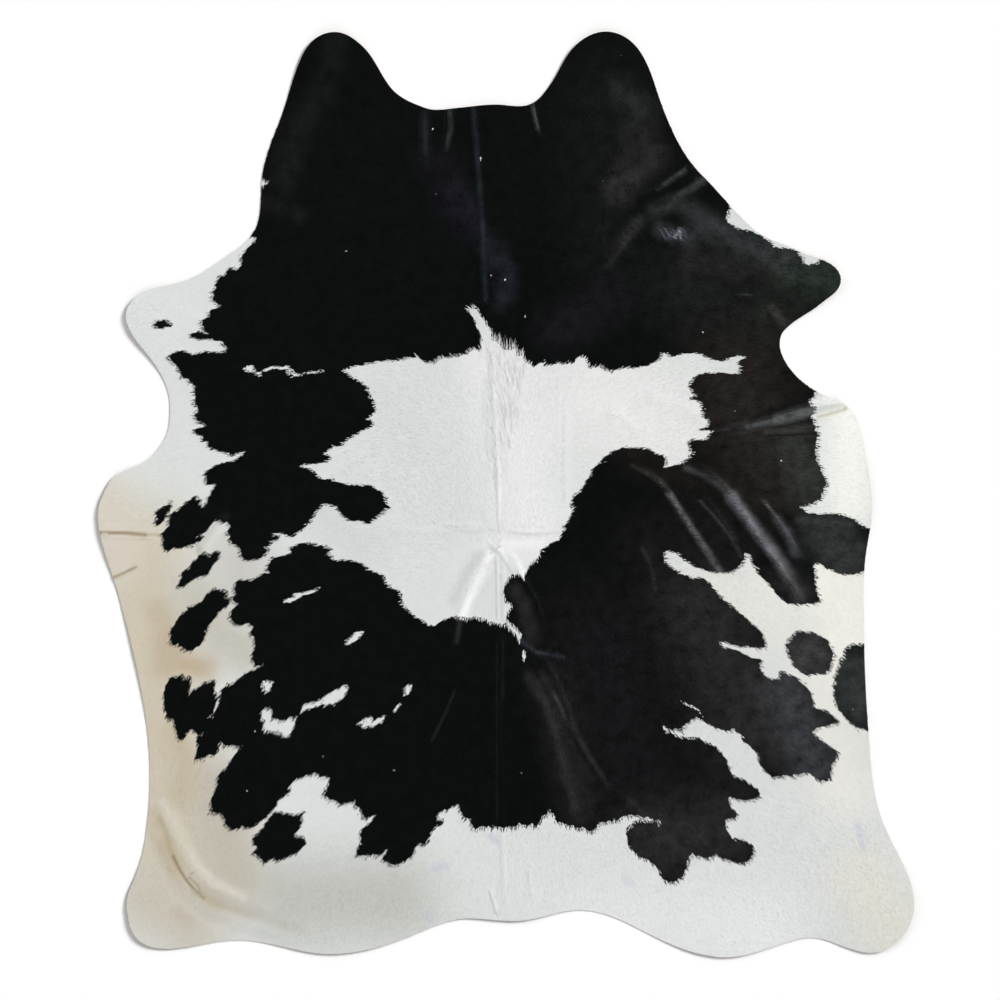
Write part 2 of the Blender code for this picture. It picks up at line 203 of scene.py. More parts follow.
FOLDS = (
    Fold("spine, neck to withers", 2.6, 3.0, 0.0, ((-7.8, 99.0), (-7.4, 83.6), (-6.5, 72.4), (-5.8, 48.6))),
    Fold("spine, withers to loin", 2.2, 3.0, 0.0, ((-5.8, 50.0), (-4.0, 37.4), (-2.8, 20.0), (-1.6, -8.6))),
    Fold("spine, loin to rump", 1.6, 2.5, 1.5, ((-2.0, -12.0), (-1.4, -22.0), (-1.2, -34.0))),
    Fold(
        "spine, rump to tail", 2.2, 2.5, 0.0,
        ((-1.4, -32.0), (-1.8, -51.4), (-1.0, -83.9), (0.0, -109.0)),
    ),
    Fold("neck pleat, outer", 2.4, 3.0, 0.0, ((-20.8, 98.0), (-20.6, 91.0), (-20.4, 82.0))),
    Fold("neck pleat, inner", 1.8, 4.0, 0.0, ((-14.6, 98.5), (-14.9, 92.0), (-15.4, 85.5))),
    Fold("neck pleat, right", 1.8, 4.0, 0.0, ((6.2, 99.0), (7.0, 94.6), (8.3, 89.5))),
    Fold("neck, slanting band", 6.0, 3.0, 0.0, ((-16.5, 86.1), (-9.0, 69.9), (-5.0, 59.9), (-0.2, 50.6))),
    Fold(
        "right shoulder, fore wrinkle", 2.6, 6.5, 0.0,
        ((31.5, 73.2), (40.5, 78.4), (47.0, 82.6), (51.0, 86.0)),
    ),
    Fold(
        "right shoulder, rear wrinkle", 2.4, 5.5, 0.0,
        ((35.5, 71.6), (43.5, 75.4), (49.5, 78.9), (53.5, 82.0)),
    ),
    Fold("right shoulder, long wrinkle", 3.6, 6.0, 0.0, ((23.5, 57.5), (28.5, 64.1), (35.0, 70.4))),
    Fold("right shoulder, upright wrinkle", 2.6, 3.0, 0.0, ((22.8, 62.0), (23.4, 67.0), (24.6, 74.0))),
    Fold("right belly, main fold", 4.0, 9.0, 0.0, ((49.5, 14.9), (63.5, 17.6), (76.0, 21.6), (92.0, 24.6))),
    Fold("right belly, small fold", 2.2, 3.5, 0.0, ((52.5, 12.2), (68.5, 14.2), (78.5, 17.6))),
    Fold(
        "right flank, inner fold", 3.6, 8.0, 0.0,
        ((30.0, 7.4), (35.5, 4.6), (39.8, 0.9), (43.8, -6.6), (48.2, -12.2), (54.5, -20.5)),
    ),
    Fold(
        "right flank, main fold", 4.6, 11.0, 0.0,
        ((43.0, 7.9), (50.5, 4.4), (56.5, -1.4), (60.5, -8.6), (66.0, -16.4), (71.0, -23.4), (75.5, -30.0)),
    ),
    Fold("right flank, wrinkle between", 2.4, 4.0, 0.0, ((47.6, 0.6), (53.8, -6.6), (58.6, -14.6))),
    Fold("right flank, outer fold", 3.2, 6.0, 0.0, ((61.6, 0.2), (67.2, -6.4), (73.4, -16.4))),
    Fold("right flank, short wrinkle", 2.6, 3.0, 0.0, ((33.0, -9.6), (36.0, -15.9), (37.8, -24.0))),
    Fold("storage fold, left of the spine", 1.8, 2.5, 0.0, ((-33.0, -8.8), (-16.5, -8.4), (-3.0, -8.9))),
    Fold("storage fold, right of the spine", 2.0, 3.0, 2.2, ((-0.5, -9.3), (10.0, -9.6), (25.0, -9.0))),
    Fold("storage fold, left edge", 1.8, 3.0, 1.8, ((-106.0, -9.9), (-96.5, -9.8), (-86.0, -10.0))),
    Fold("storage fold, right of the loin", 2.0, 1.6, 0.0, ((13.5, 34.0), (14.0, 13.6), (14.0, -8.0))),
    Fold("left edge, short crease", 1.6, 2.5, 0.0, ((-101.5, -22.4), (-95.2, -19.6), (-90.5, -17.4))),
    Fold(
        "loin pinch, left ridge", 3.4, 7.0, 0.0,
        ((-1.8, -12.4), (-7.0, -21.0), (-12.0, -31.5), (-15.6, -40.5)),
    ),
    Fold(
        "loin pinch, right ridge", 3.0, 5.0, 0.0,
        ((-1.0, -12.6), (2.0, -16.0), (4.6, -21.2), (7.5, -26.8), (9.8, -35.0)),
    ),
    Fold(
        "right rump, long wrinkle", 3.0, 5.0, 0.0,
        ((3.8, -37.6), (9.8, -41.6), (13.5, -48.9), (16.5, -57.6), (21.0, -66.9), (26.0, -73.6)),
    ),
    Fold(
        "right rump, broad fold", 5.2, 6.0, 0.0,
        ((2.6, -41.0), (8.0, -50.1), (12.0, -62.6), (15.0, -75.1), (18.6, -86.0)),
    ),
    Fold("left ribs, soft fold", 4.4, 4.0, 0.0, ((-41.5, 4.9), (-36.0, 8.1), (-28.5, 13.2))),
    Fold("left belly, soft fold", 4.0, 5.0, 0.0, ((-68.8, -4.0), (-73.0, -9.4), (-77.4, -15.4))),
    Fold("right ribs, lower soft fold", 5.4, 3.0, 0.0, ((24.0, 22.4), (29.0, 18.4), (34.5, 13.8))),
    Fold("right ribs, upper soft fold", 6.0, 3.0, 0.0, ((32.0, 25.2), (41.5, 22.0), (51.0, 18.4))),
    Fold(
        "left hind leg, trough", 5.6, 8.0, 5.6,
        ((-89.0, -74.5), (-85.2, -83.9), (-79.2, -96.0), (-73.5, -101.0), (-65.5, -104.4), (-53.0, -108.6)),
    ),
)

SWELLS = (
    Swell("left cheek tip", -43.0, 119.0, 28.0, 8.0),
    Swell("right cheek tip", 25.0, 119.0, 28.0, 8.0),
    Swell("neck edge", -6.0, 103.0, 22.0, 6.0),
    Swell("right foreleg end", 90.0, 54.0, 26.0, 9.0),
    Swell("left foreleg end", -100.0, 44.0, 26.0, 9.0),
    Swell("left belly edge", -109.0, -6.0, 28.0, 8.0),
    Swell("left flank edge", -101.0, -42.0, 22.0, 5.0),
    Swell("right belly edge", 98.0, 2.0, 26.0, 6.0),
    Swell("right flank edge", 98.0, -52.0, 26.0, 4.0),
    Swell("right hind leg end", 107.0, -110.0, 32.0, 10.0),
    Swell("left hind leg end", -99.0, -112.0, 28.0, 9.0),
    Swell("tail edge", 1.0, -113.0, 24.0, 6.0),
    Swell("right rump edge", 54.0, -122.0, 26.0, 6.0),
    Swell("left rump edge", -42.0, -122.0, 26.0, 6.0),
    Swell("right shoulder", 38.0, 84.0, 26.0, 5.0),
    Swell("right flank", 57.0, -5.0, 28.0, 4.0),
    Swell("right rump", 14.0, -60.0, 24.0, 3.0),
)

# The finest wrinkles, which only the dressed hide has.
WRINKLES = (
    Fold("loin knot, left crease", 1.0, 1.0, 0.0, ((-4.6, -11.6), (-3.4, -12.9), (-2.6, -13.8))),
    Fold("loin knot, right crease", 1.0, 1.0, 0.0, ((-2.6, -13.8), (-1.7, -12.6), (-0.9, -11.2))),
    Fold("loin knot, lower crease", 1.0, 0.9, 0.0, ((-4.0, -14.4), (-2.6, -13.6), (-1.2, -14.2))),
    Fold("bottom white, left wrinkle", 1.2, 1.0, 0.0, ((-4.5, -97.5), (-3.2, -101.5), (-2.0, -105.5))),
    Fold("bottom white, right wrinkle", 1.2, 1.0, 0.0, ((5.5, -92.5), (6.0, -97.0), (6.2, -101.5))),
)

# The share of a fold's height that still shows under the hair, where that is less than all of it.
SHOWN = {
    "spine, neck to withers": 0.5,
    "spine, withers to loin": 0.25,
    "spine, loin to rump": 0.3,
    "spine, rump to tail": 0.4,
    "neck pleat, outer": 0.6,
    "neck pleat, inner": 0.4,
    "neck pleat, right": 0.4,
    "neck, slanting band": 0.5,
    "right shoulder, fore wrinkle": 0.45,
    "right shoulder, rear wrinkle": 0.45,
    "right shoulder, long wrinkle": 0.3,
    "right shoulder, upright wrinkle": 0.5,
    "right belly, small fold": 0.5,
    "right flank, inner fold": 0.55,
    "right flank, main fold": 0.5,
    "right flank, wrinkle between": 0.6,
    "right flank, outer fold": 0.6,
    "right flank, short wrinkle": 0.6,
    "storage fold, left of the spine": 0.15,
    "storage fold, right of the spine": 0.12,
    "storage fold, left edge": 0.25,
    "storage fold, right of the loin": 0.2,
    "left edge, short crease": 0.5,
    "loin pinch, left ridge": 0.35,
    "loin pinch, right ridge": 0.35,
    "right rump, long wrinkle": 0.4,
    "right rump, broad fold": 0.6,
    "left ribs, soft fold": 0.3,
    "right ribs, lower soft fold": 0.4,
    "right ribs, upper soft fold": 0.4,
    "left hind leg, trough": 0.12,
}

# The outlines of the coat's patches, given right and down from the top left corner of a board 2.5 m square,
# in steps of 2.5 mm. A place is black where an odd number of them go round it.
MAIN_BLACK = (
    (238, 215), (246, 236), (254, 240), (250, 245), (246, 250), (241, 256), (240, 262), (238, 268),
    (232, 268.5), (228, 269), (224, 275), (221, 277.5), (219, 276.5), (216, 280), (214, 285), (213, 290),
    (210, 293), (211, 298), (212, 303), (216, 306.5), (218.5, 307), (215, 309), (209, 310.5), (208, 317),
    (204, 318.5), (200.5, 322), (201, 327), (202, 331), (205, 333.5), (209, 334.5), (204, 334), (200, 332),
    (193, 332), (189, 333.5), (188, 335.5), (188, 336.5), (192, 338.5), (200, 340), (208, 340),
    (214, 341.5), (219, 342), (221, 344.5), (225, 348), (225.5, 350), (223, 353), (220, 352.5),
    (210, 352.5), (205, 352), (200, 352.5), (193, 355), (188, 353), (182, 351.5), (174, 352), (172, 353.5),
    (167, 355.5), (167.5, 359), (171, 363), (175, 368), (177, 373), (181, 378), (186, 380), (190, 384),
    (194, 388), (192, 391), (192.5, 400), (194.5, 406), (195, 412), (193.5, 416), (196, 421), (200, 424.5),
    (203, 427), (197, 427.5), (192, 431), (194, 434), (199, 435.5), (201, 437), (201, 441), (205, 443),
    (207, 447), (213, 450.5), (220, 452), (227, 454.5), (232, 456), (243, 452), (240, 455), (236, 458.5),
    (232, 461.5), (226, 463), (218, 464.5), (211, 467.5), (205, 472), (203.5, 475), (205, 480), (205, 484),
    (203.5, 486), (213, 485), (211, 490), (208, 496), (206, 500), (204, 504), (200, 508), (200, 501),
    (198, 500), (195, 498), (190, 499), (186, 502), (184, 505), (178, 509), (173, 512), (169, 517),
    (167, 521), (166, 529), (161, 534), (161, 546), (162, 552), (166, 552), (171, 550), (177, 550),
    (183, 548.5), (190, 546), (196, 543), (200, 540), (202, 538.5), (198, 536), (202, 534), (207, 531),
    (209, 527), (213, 522), (217, 521), (219, 523), (225, 524), (227, 527), (226, 533), (228, 538),
    (227.5, 541), (231, 545), (236, 547), (238, 548), (238, 553), (240, 558), (242, 561), (250, 561),
    (256, 559), (262, 557), (265, 554), (269, 550), (266, 548), (270, 545), (272, 541), (275, 540),
    (278, 537), (272, 534.5), (278, 533.5), (284, 536), (290, 537), (294, 535.5), (297, 533), (301, 530),
    (304, 527), (308, 523), (313, 517), (316, 511), (320, 508), (322, 505), (327, 504.5), (333, 506),
    (340, 515), (345, 519), (352, 521), (360, 522), (367, 524), (371, 522), (376, 518), (382, 514),
    (387, 508), (385, 502), (386, 497), (378, 491), (370, 486), (361, 485), (350, 484), (340, 483),
    (333, 480), (328, 478), (321, 479), (318, 477), (313, 473), (310, 470), (305, 468), (300, 465),
    (308, 464.5), (314, 464), (320, 463), (325, 461.5), (329, 459), (327, 455), (325, 452), (328, 449),
    (333, 447), (341, 445), (347, 440), (353, 436), (358, 432), (364, 430), (371, 424), (368, 418),
    (373, 412), (373, 403), (369, 395), (367, 388), (362, 384), (356, 380), (349, 375), (342, 370),
    # The lower edge of the black neck and shoulders, from left to right.
    (347, 368), (358, 366), (366, 364), (380, 362), (395, 360), (405, 358), (412, 355.5), (418, 357),
    (421, 360), (432, 362), (440, 357.5), (450, 355.5), (456, 356), (463.5, 353), (471.5, 349), (478, 348),
    (481, 339), (478, 330), (473.5, 318.5), (466.5, 309.5), (474.5, 307), (479, 311.5), (482, 317.5),
    (487, 322), (490.5, 328.5), (493, 335.5), (498, 339), (504, 343.5), (511, 345), (516, 344),
    (518, 351.5), (523.5, 353), (526, 360.5), (531, 361.5), (534, 365), (539, 363), (543, 361),
    (547, 364.5), (561, 362), (573, 361.5), (580, 356), (586, 357), (590, 365.5), (599, 366), (604, 367),
    (610, 370), (615, 370), (624, 368), (640, 367), (648, 365), (656, 362), (661, 357), (663, 352),
    (667, 354), (672, 357), (680, 355), (690, 354), (704, 356), (716, 360.5), (725, 360.5), (734, 356.5),
    (745, 357.5), (739, 362.3), (741.5, 366.5), (738.5, 373.5), (721, 373), (705.5, 373), (698, 375.5),
    (692, 380.5), (691, 384), (692, 390), (695, 396), (693, 400), (701.6, 403), (704.3, 416.5),
    (711, 424.5), (701.6, 430), (712, 432), (704, 440), (690, 441), (691, 450), (693, 452), (690, 458),
    (684, 462), (675, 466), (667, 468), (666, 464), (667, 458), (664, 455), (658, 453), (650, 449),
    (640, 448), (630, 447), (620, 448), (612, 452), (606, 456), (602, 461), (594, 468), (591, 475),
    (588, 480), (583, 488), (578, 493), (573, 500), (573, 508), (574, 512), (570, 520), (564, 527),
    (563, 535), (557, 540), (548, 545), (543, 551), (541, 556), (534, 563), (530, 567), (525, 576),
    (523, 580), (519, 577), (510, 578), (506, 583), (504, 590), (504, 598), (507, 604), (511, 607),
    (508, 614), (506, 620), (509, 624), (515, 628), (519, 632), (521, 638), (519, 642),
    # The lower edge of the white back, from right to left.
    (515, 636), (510, 630), (505, 625), (500, 626), (492, 624), (485, 621), (478, 619), (466, 619),
    (455, 618), (442, 620), (434, 625), (425, 626), (424, 622), (415, 618), (408, 611), (402, 605),
    (401, 598), (398, 592), (390, 588), (385, 583), (382, 577), (376, 573), (368, 569), (360, 563),
    (350, 561), (340, 560), (334, 561), (330, 557), (328, 553), (331, 550), (327, 547), (320, 546),
    (312, 544), (304, 542.5), (298, 543.5), (293, 546), (289, 549), (289, 553), (286, 555), (280, 556),
    (275, 557), (269, 561), (266, 566), (264, 570.5), (267, 573), (261, 574), (256, 578), (251, 580),
    (240, 580), (236, 582), (234, 585), (234, 590), (233, 596), (230, 601), (234, 604), (239, 604),
    (235, 606), (231, 611), (227, 618), (230, 621), (233, 626), (239, 627), (248, 625), (250, 630),
    (248, 634), (251, 639), (253, 643), (253, 650), (251, 656), (251, 662), (254, 666), (259, 668),
    (261, 666), (256, 670), (250, 672), (244, 674), (241, 678), (236, 681), (232, 684), (226, 686),
    (222, 690), (219.5, 695), (218, 701), (216.5, 708), (213, 714), (209, 719.5), (211.5, 716),
    (214.5, 710), (216, 703), (216, 697), (214, 692), (214, 684), (212, 681), (206, 683), (200, 686),
    (194, 690), (189, 694), (190, 687), (191, 681), (188, 676), (185, 679), (181, 675), (174, 678),
    (169, 680), (166, 684), (163, 690), (163, 703), (164, 711), (166, 718), (169, 722), (173.5, 721),
    (174, 729), (176, 736), (180, 742), (184, 739), (187, 734), (190, 732), (194, 733), (197, 737),
    (205, 734), (199, 738), (196, 742), (196, 754), (193, 760), (199, 761), (205, 759), (210, 757),
    (214, 757), (217, 753), (219, 749), (220, 745), (225, 747), (232, 748), (238, 748), (242, 747.5),
    (237, 752), (233, 757), (229, 763), (226, 769), (221, 772), (218, 776), (216, 784), (215, 790),
    (213, 795), (210, 801), (210, 808), (209, 813), (213, 815), (219, 815), (222, 819), (224, 824),
    (226, 829), (232, 831), (239, 829), (250, 828), (258, 824), (267, 817), (271, 813), (275, 807),
    (280, 800), (286, 796), (289, 791), (291, 786), (295, 781), (300, 779), (308, 776.5), (315, 775.5),
    (318, 779), (326, 778.5), (327, 784), (325, 790), (323, 796), (328, 801), (333, 802.5), (338, 805.5),
    (345, 805), (352, 803), (356, 808), (360, 815), (365, 819), (370, 819), (374, 817), (370, 822),
    (364, 828), (360, 832), (359, 840), (359, 846), (356, 851), (354, 855), (359, 858), (368, 857),
    (376, 857), (382, 854), (386, 851), (383, 857), (380, 861), (384, 864), (390, 866), (396, 866),
    (401, 864), (408, 860), (413, 856), (414, 850), (418, 846), (426, 845), (428, 840), (431, 834),
    (435, 828), (440, 826), (443, 821), (438, 819), (436, 815), (441, 813), (449, 810), (457, 806),
    (458, 811), (461, 816), (465, 820), (470, 822), (471, 827), (474, 830), (480, 830), (485, 829),
    (497, 829), (502, 830), (511, 829), (523, 827), (528, 828), (532, 825), (536, 830), (540, 823),
    (543, 819), (547, 816), (550, 811), (553, 815), (556, 822), (560, 825), (581, 830), (593, 833),
    (601, 825.5), (611, 823), (619, 821.5), (626, 818), (633, 817), (641, 818.5), (650, 820.5), (663, 824),
    (650, 823), (640, 822.5), (633, 824.5), (628, 829), (626, 835.6), (632, 851.6), (642.7, 859.7),
    (656, 867.7), (664, 881), (674.8, 884), (683, 878), (688, 867.7), (691, 857), (709.7, 859.7),
    (717.7, 857), (731, 862), (747, 865), (755, 851.6), (747, 842), (732.4, 838), (727, 822), (739, 818),
    (732.4, 808), (731, 800.4), (741.8, 801.7), (758, 800), (760.6, 792.4), (747, 781.6), (733.8, 776),
    (725.7, 757.5), (712, 745.5), (699, 739.5), (686, 738), (679, 737.5), (672, 733.8), (664, 729.2),
    (664.5, 727.6), (670, 730.2), (673, 731.8), (675, 730.2), (679, 731), (683, 733), (684, 728.5),
    (689, 724.5), (694, 721.5), (699, 719.5), (712, 726.7), (725.7, 732), (736.5, 732), (747, 744),
    (758, 755), (760.6, 765.6), (771, 777.6), (787, 777.6), (808.8, 775), (819.5, 781.6), (830, 781.6),
    (834, 765.6), (838, 753.5), (816.8, 737), (815.5, 730.7), (830, 726.7), (839.6, 722.7), (827.5, 712),
    (815.5, 709), (814, 698.6), (806, 685), (792.7, 676), (783, 672), (779, 678.5), (768.6, 678.5),
    (760.6, 666), (766, 662), (752.5, 658), (739, 651.7), (725.7, 647.7), (720.4, 642), (731, 645),
    (747, 647.7), (764.6, 649), (766, 639.7), (758, 629), (741.8, 614), (723, 599.5), (715, 588.8),
    (704, 578), (693.6, 578), (677.5, 571), (665.5, 559), (666.8, 551), (677.5, 554), (688, 562),
    (704, 570), (728, 574), (743, 564.7), (748, 554), (758, 572.7), (771, 586), (784.7, 602), (798, 605),
    (819.5, 603.5), (818, 591), (816.8, 578), (818, 564.7), (835.6, 572.7), (851.6, 575.4), (863.7, 572.7),
    (880, 570), (880, 525), (869, 528.5), (846, 516), (825, 514), (811, 514), (803, 508), (808.8, 505.7),
    (822, 499), (827.5, 483), (822, 468), (818, 452), (819.5, 436), (815, 422), (814, 418), (815.7, 410),
    (810.5, 401), (815.5, 397.5), (817, 391),
    # Beyond the hide's edge, and back over its head end.
    (822, 380), (870, 300), (870, 10), (240, 10),
)

PATCHES = (
    MAIN_BLACK,
    # Black spots.
    (
        (152, 324.6), (155, 321.5), (161, 320.2), (167, 321.5), (170.4, 324.6), (167, 327.8), (161, 329),
        (155, 327.8),
    ),
    (
        (154, 513), (158, 510), (163, 507), (168, 503), (170, 503), (170, 508), (168, 513), (166, 518),
        (163, 521), (160, 524), (156, 527), (154, 524),
    ),
    (
        (177, 587), (178, 583), (181, 574), (185, 570), (190, 565), (194, 560), (199, 556), (204, 553),
        (210, 555), (216, 552), (218, 556), (218, 560), (213, 565), (210, 571), (206, 576), (200, 577.5),
        (193, 580), (187, 585), (180, 588),
    ),
    (
        (168, 634), (170, 629), (174, 624), (177, 618), (182, 614), (190, 607), (196, 605), (201, 601),
        (204, 596), (209, 592), (214, 589), (219, 591), (224, 592), (227, 597), (230, 602), (227, 606),
        (222, 610), (217, 616), (212, 622), (208, 627), (206, 634), (204, 640), (200, 645), (193, 650),
        (188, 652), (181, 650), (176, 646), (171, 648), (170, 642),
    ),
    (
        (250, 841), (254, 836), (258, 833), (263, 827), (269, 818), (272, 814), (278, 812.5), (290, 815),
        (301, 813), (303, 815), (302, 820), (300, 828), (296, 833), (293, 836), (300, 837), (305, 843),
        (301, 849), (297, 853), (291, 856), (285, 859), (276, 863), (272, 860), (268, 862), (262, 864),
        (260, 860), (252, 855), (255, 849), (252, 845),
    ),
    (
        (787, 645), (798, 633), (817, 634), (829, 642), (834, 656), (830, 672), (814, 676), (798, 670.5),
        (789, 658),
    ),
    (
        (834, 690.6), (838, 669), (849, 648), (862, 645), (884, 650), (884, 735), (868, 731), (857, 728),
        (844, 717), (836, 704),
    ),
    # White slits and islands in the black.
    (
        (245, 371), (244, 367.5), (248, 366), (252, 368), (254, 371.5), (258, 373.5), (262, 370.5),
        (267, 368), (274, 367.3), (284, 367), (289, 368.8), (293, 372.8), (297, 373.6), (303, 372.6),
        (311, 372), (321, 370.6), (321, 371.4), (311, 373.3), (303, 374.4), (297, 376), (292, 376.5),
        (288, 372.5), (284, 369.6), (274, 369), (267, 369.8), (262, 372.5), (259, 376.5), (255, 375.5),
        (251, 372.5),
    ),
    (
        (282, 602.5), (286, 599), (292, 598.5), (296, 594.5), (306, 592.5), (312, 590.5), (318, 588.5),
        (317, 591), (312, 593.5), (306, 595.5), (297, 597.5), (292, 601.5), (286, 602.5),
    ),
    ((346, 642), (354, 633), (361, 632), (358, 638), (348, 645)),
    ((262, 684), (268, 682), (271, 683), (270, 690), (268, 694), (264, 692)),
    (
        (300, 709), (306, 705), (314, 703), (320, 700.5), (327, 696), (333, 692), (346, 686.5), (342, 698),
        (334, 704), (326, 706), (318, 706), (305, 711),
    ),
    (
        (259, 716), (263, 711), (267, 709), (271, 714), (269, 718), (275, 721), (280, 722), (290, 719),
        (295, 718), (294, 723), (293, 729), (290, 734), (285, 738), (277, 733), (265, 731), (262, 729),
        (264, 724), (262, 720),
    ),
    (
        (357, 724), (363, 722), (365, 719), (370, 719), (373, 722.5), (385, 716.5), (379, 724), (373, 728),
        (367, 727), (360, 731), (363, 726.5),
    ),
    ((403, 689), (410, 686.5), (406, 696)),
    ((393.6, 711), (398, 704.5), (398.7, 706), (395, 711.6)),
    ((523.5, 652), (525.5, 655), (524.5, 661), (522, 657)),
    # White at the hide's edges.
    ((258, 180), (264, 182), (268, 184), (265, 187), (259, 187)),
    (
        (731, 207), (728.5, 215), (728, 223), (733, 225.5), (739, 229), (745, 230), (751, 231.5),
        (756, 233), (764, 237.5), (772, 242), (775, 245.5), (778, 248.7), (783, 249), (788, 248),
        (795, 250.5), (799.5, 254.7), (803.7, 260), (807, 264), (817, 263), (822, 255), (790, 235),
        (745, 210),
    ),
    ((682, 702), (688, 704.5), (694, 707.5), (698, 711), (693, 709), (687, 706.2)),
)

# 0 points towards the hide's right side and 90 towards its head.
LIES = (
    Lie("withers", -1.5, 37.0, 90), Lie("withers, left", -10.0, 36.0, 140),
    Lie("withers, right", 8.5, 33.6, 45), Lie("fore strands, left", -1.5, 29.9, 120),
    Lie("rear strands, left", -1.5, 22.4, 120), Lie("fore strands, right", 2.0, 29.9, 82),
    Lie("outer strands, right", 3.8, 31.1, 74), Lie("rear strands, right", 1.5, 20.6, 86),
    Lie("spine strands, fore", -4.0, 29.9, 98), Lie("spine strands, rear", -3.5, 8.6, 105),
    Lie("last strands", 0.2, 4.1, 115), Lie("loin", 0.0, -4.0, 90), Lie("back, left", -19.0, 16.0, 165),
    Lie("back, right", 18.0, 16.0, 15), Lie("loin, right", 18.5, -2.6, 20),
    Lie("ribs, left", -33.5, 22.0, 185), Lie("left armpit", -78.0, 23.6, 190),
    Lie("left flank, inner", -26.5, -26.4, 185), Lie("left belly, inner", -59.0, -14.0, 190),
    Lie("left flank", -51.5, -25.4, 198), Lie("ribs, right", 46.0, 11.0, 0),
    Lie("right armpit", 58.0, 32.0, 0), Lie("right belly", 77.0, 21.0, -5),
    Lie("left belly", -77.0, -19.0, 225), Lie("left flank, outer", -78.0, -32.6, 225),
    Lie("left thigh", -79.0, -54.0, 250), Lie("left thigh, outer", -82.0, -62.0, 250),
    Lie("left thigh, inner", -66.0, -63.0, 235), Lie("left hock", -57.5, -86.0, 222),
    Lie("left rump", -19.0, -84.0, 228), Lie("left rump, outer", -30.0, -91.0, 235),
    Lie("tail", 3.5, -83.0, 270), Lie("right rump", 18.5, -84.0, 285),
    Lie("right rump, outer", 46.0, -91.0, 300), Lie("right hock", 61.0, -89.0, 315),
    Lie("right thigh", 83.0, -65.0, 318), Lie("right flank, outer", 76.5, -40.0, 330),
    Lie("right flank", 58.5, -39.0, 330), Lie("spine behind the loin", 0.0, -20.0, 270),
    Lie("spine, rump", 0.0, -40.0, 270), Lie("spine, tail", 0.0, -100.0, 270),
    # Here no tips show, and the hair lies as a cow's coat does.
    Lie("crest, left", -15.0, 50.0, 180), Lie("crest, right", 15.0, 50.0, 0),
    Lie("neck, middle", -2.0, 74.0, 270), Lie("neck, lower left", -26.0, 64.0, 222),
    Lie("neck, lower right", 26.0, 64.0, -42), Lie("shoulder blade, left", -40.0, 48.0, 196),
    Lie("shoulder blade, right", 46.0, 48.0, -16), Lie("neck", 0.0, 90.0, 270),
    Lie("left cheek", -43.0, 108.0, 265), Lie("right cheek", 25.0, 108.0, 275),
    Lie("left neck", -55.0, 80.0, 240), Lie("right neck", 45.0, 80.0, 300),
    Lie("left shoulder", -60.0, 55.0, 215), Lie("left foreleg", -90.0, 45.0, 185),
    Lie("right foreleg", 80.0, 53.0, -10), Lie("left belly edge", -98.0, -6.0, 200),
    Lie("left flank edge", -93.0, -45.0, 235), Lie("left hind leg", -90.0, -105.0, 240),
    Lie("right belly edge", 88.0, 0.0, -10), Lie("right flank edge", 90.0, -45.0, -40),
    Lie("right hind leg", 98.0, -105.0, -60),
)

# Dark strands that show in the longer hair on the withers.
DARK_STRANDS = (
    ((499, 360), (501, 366)), ((497, 374), (499, 379)), ((504, 364), (506, 376), (509, 385)),
    ((508, 364), (509, 372), (512, 379)), ((512.5, 374), (512.5, 386)), ((514, 361), (515, 373)),
    ((517, 377), (517, 389)), ((520, 368), (519.5, 392)), ((524, 364), (523, 376)), ((503, 389), (504, 397)),
    ((496, 391), (500, 400), (505, 410)), ((496, 399), (500, 408), (504, 416)), ((505, 403), (506, 418)),
    ((508, 391), (510, 407)), ((512, 404), (509, 417)), ((515, 406), (514, 417)), ((504, 418), (505, 430)),
    ((512, 415), (511, 430)), ((517, 408), (518, 415)), ((500, 432), (501, 444)), ((508, 436), (509, 448)),
)
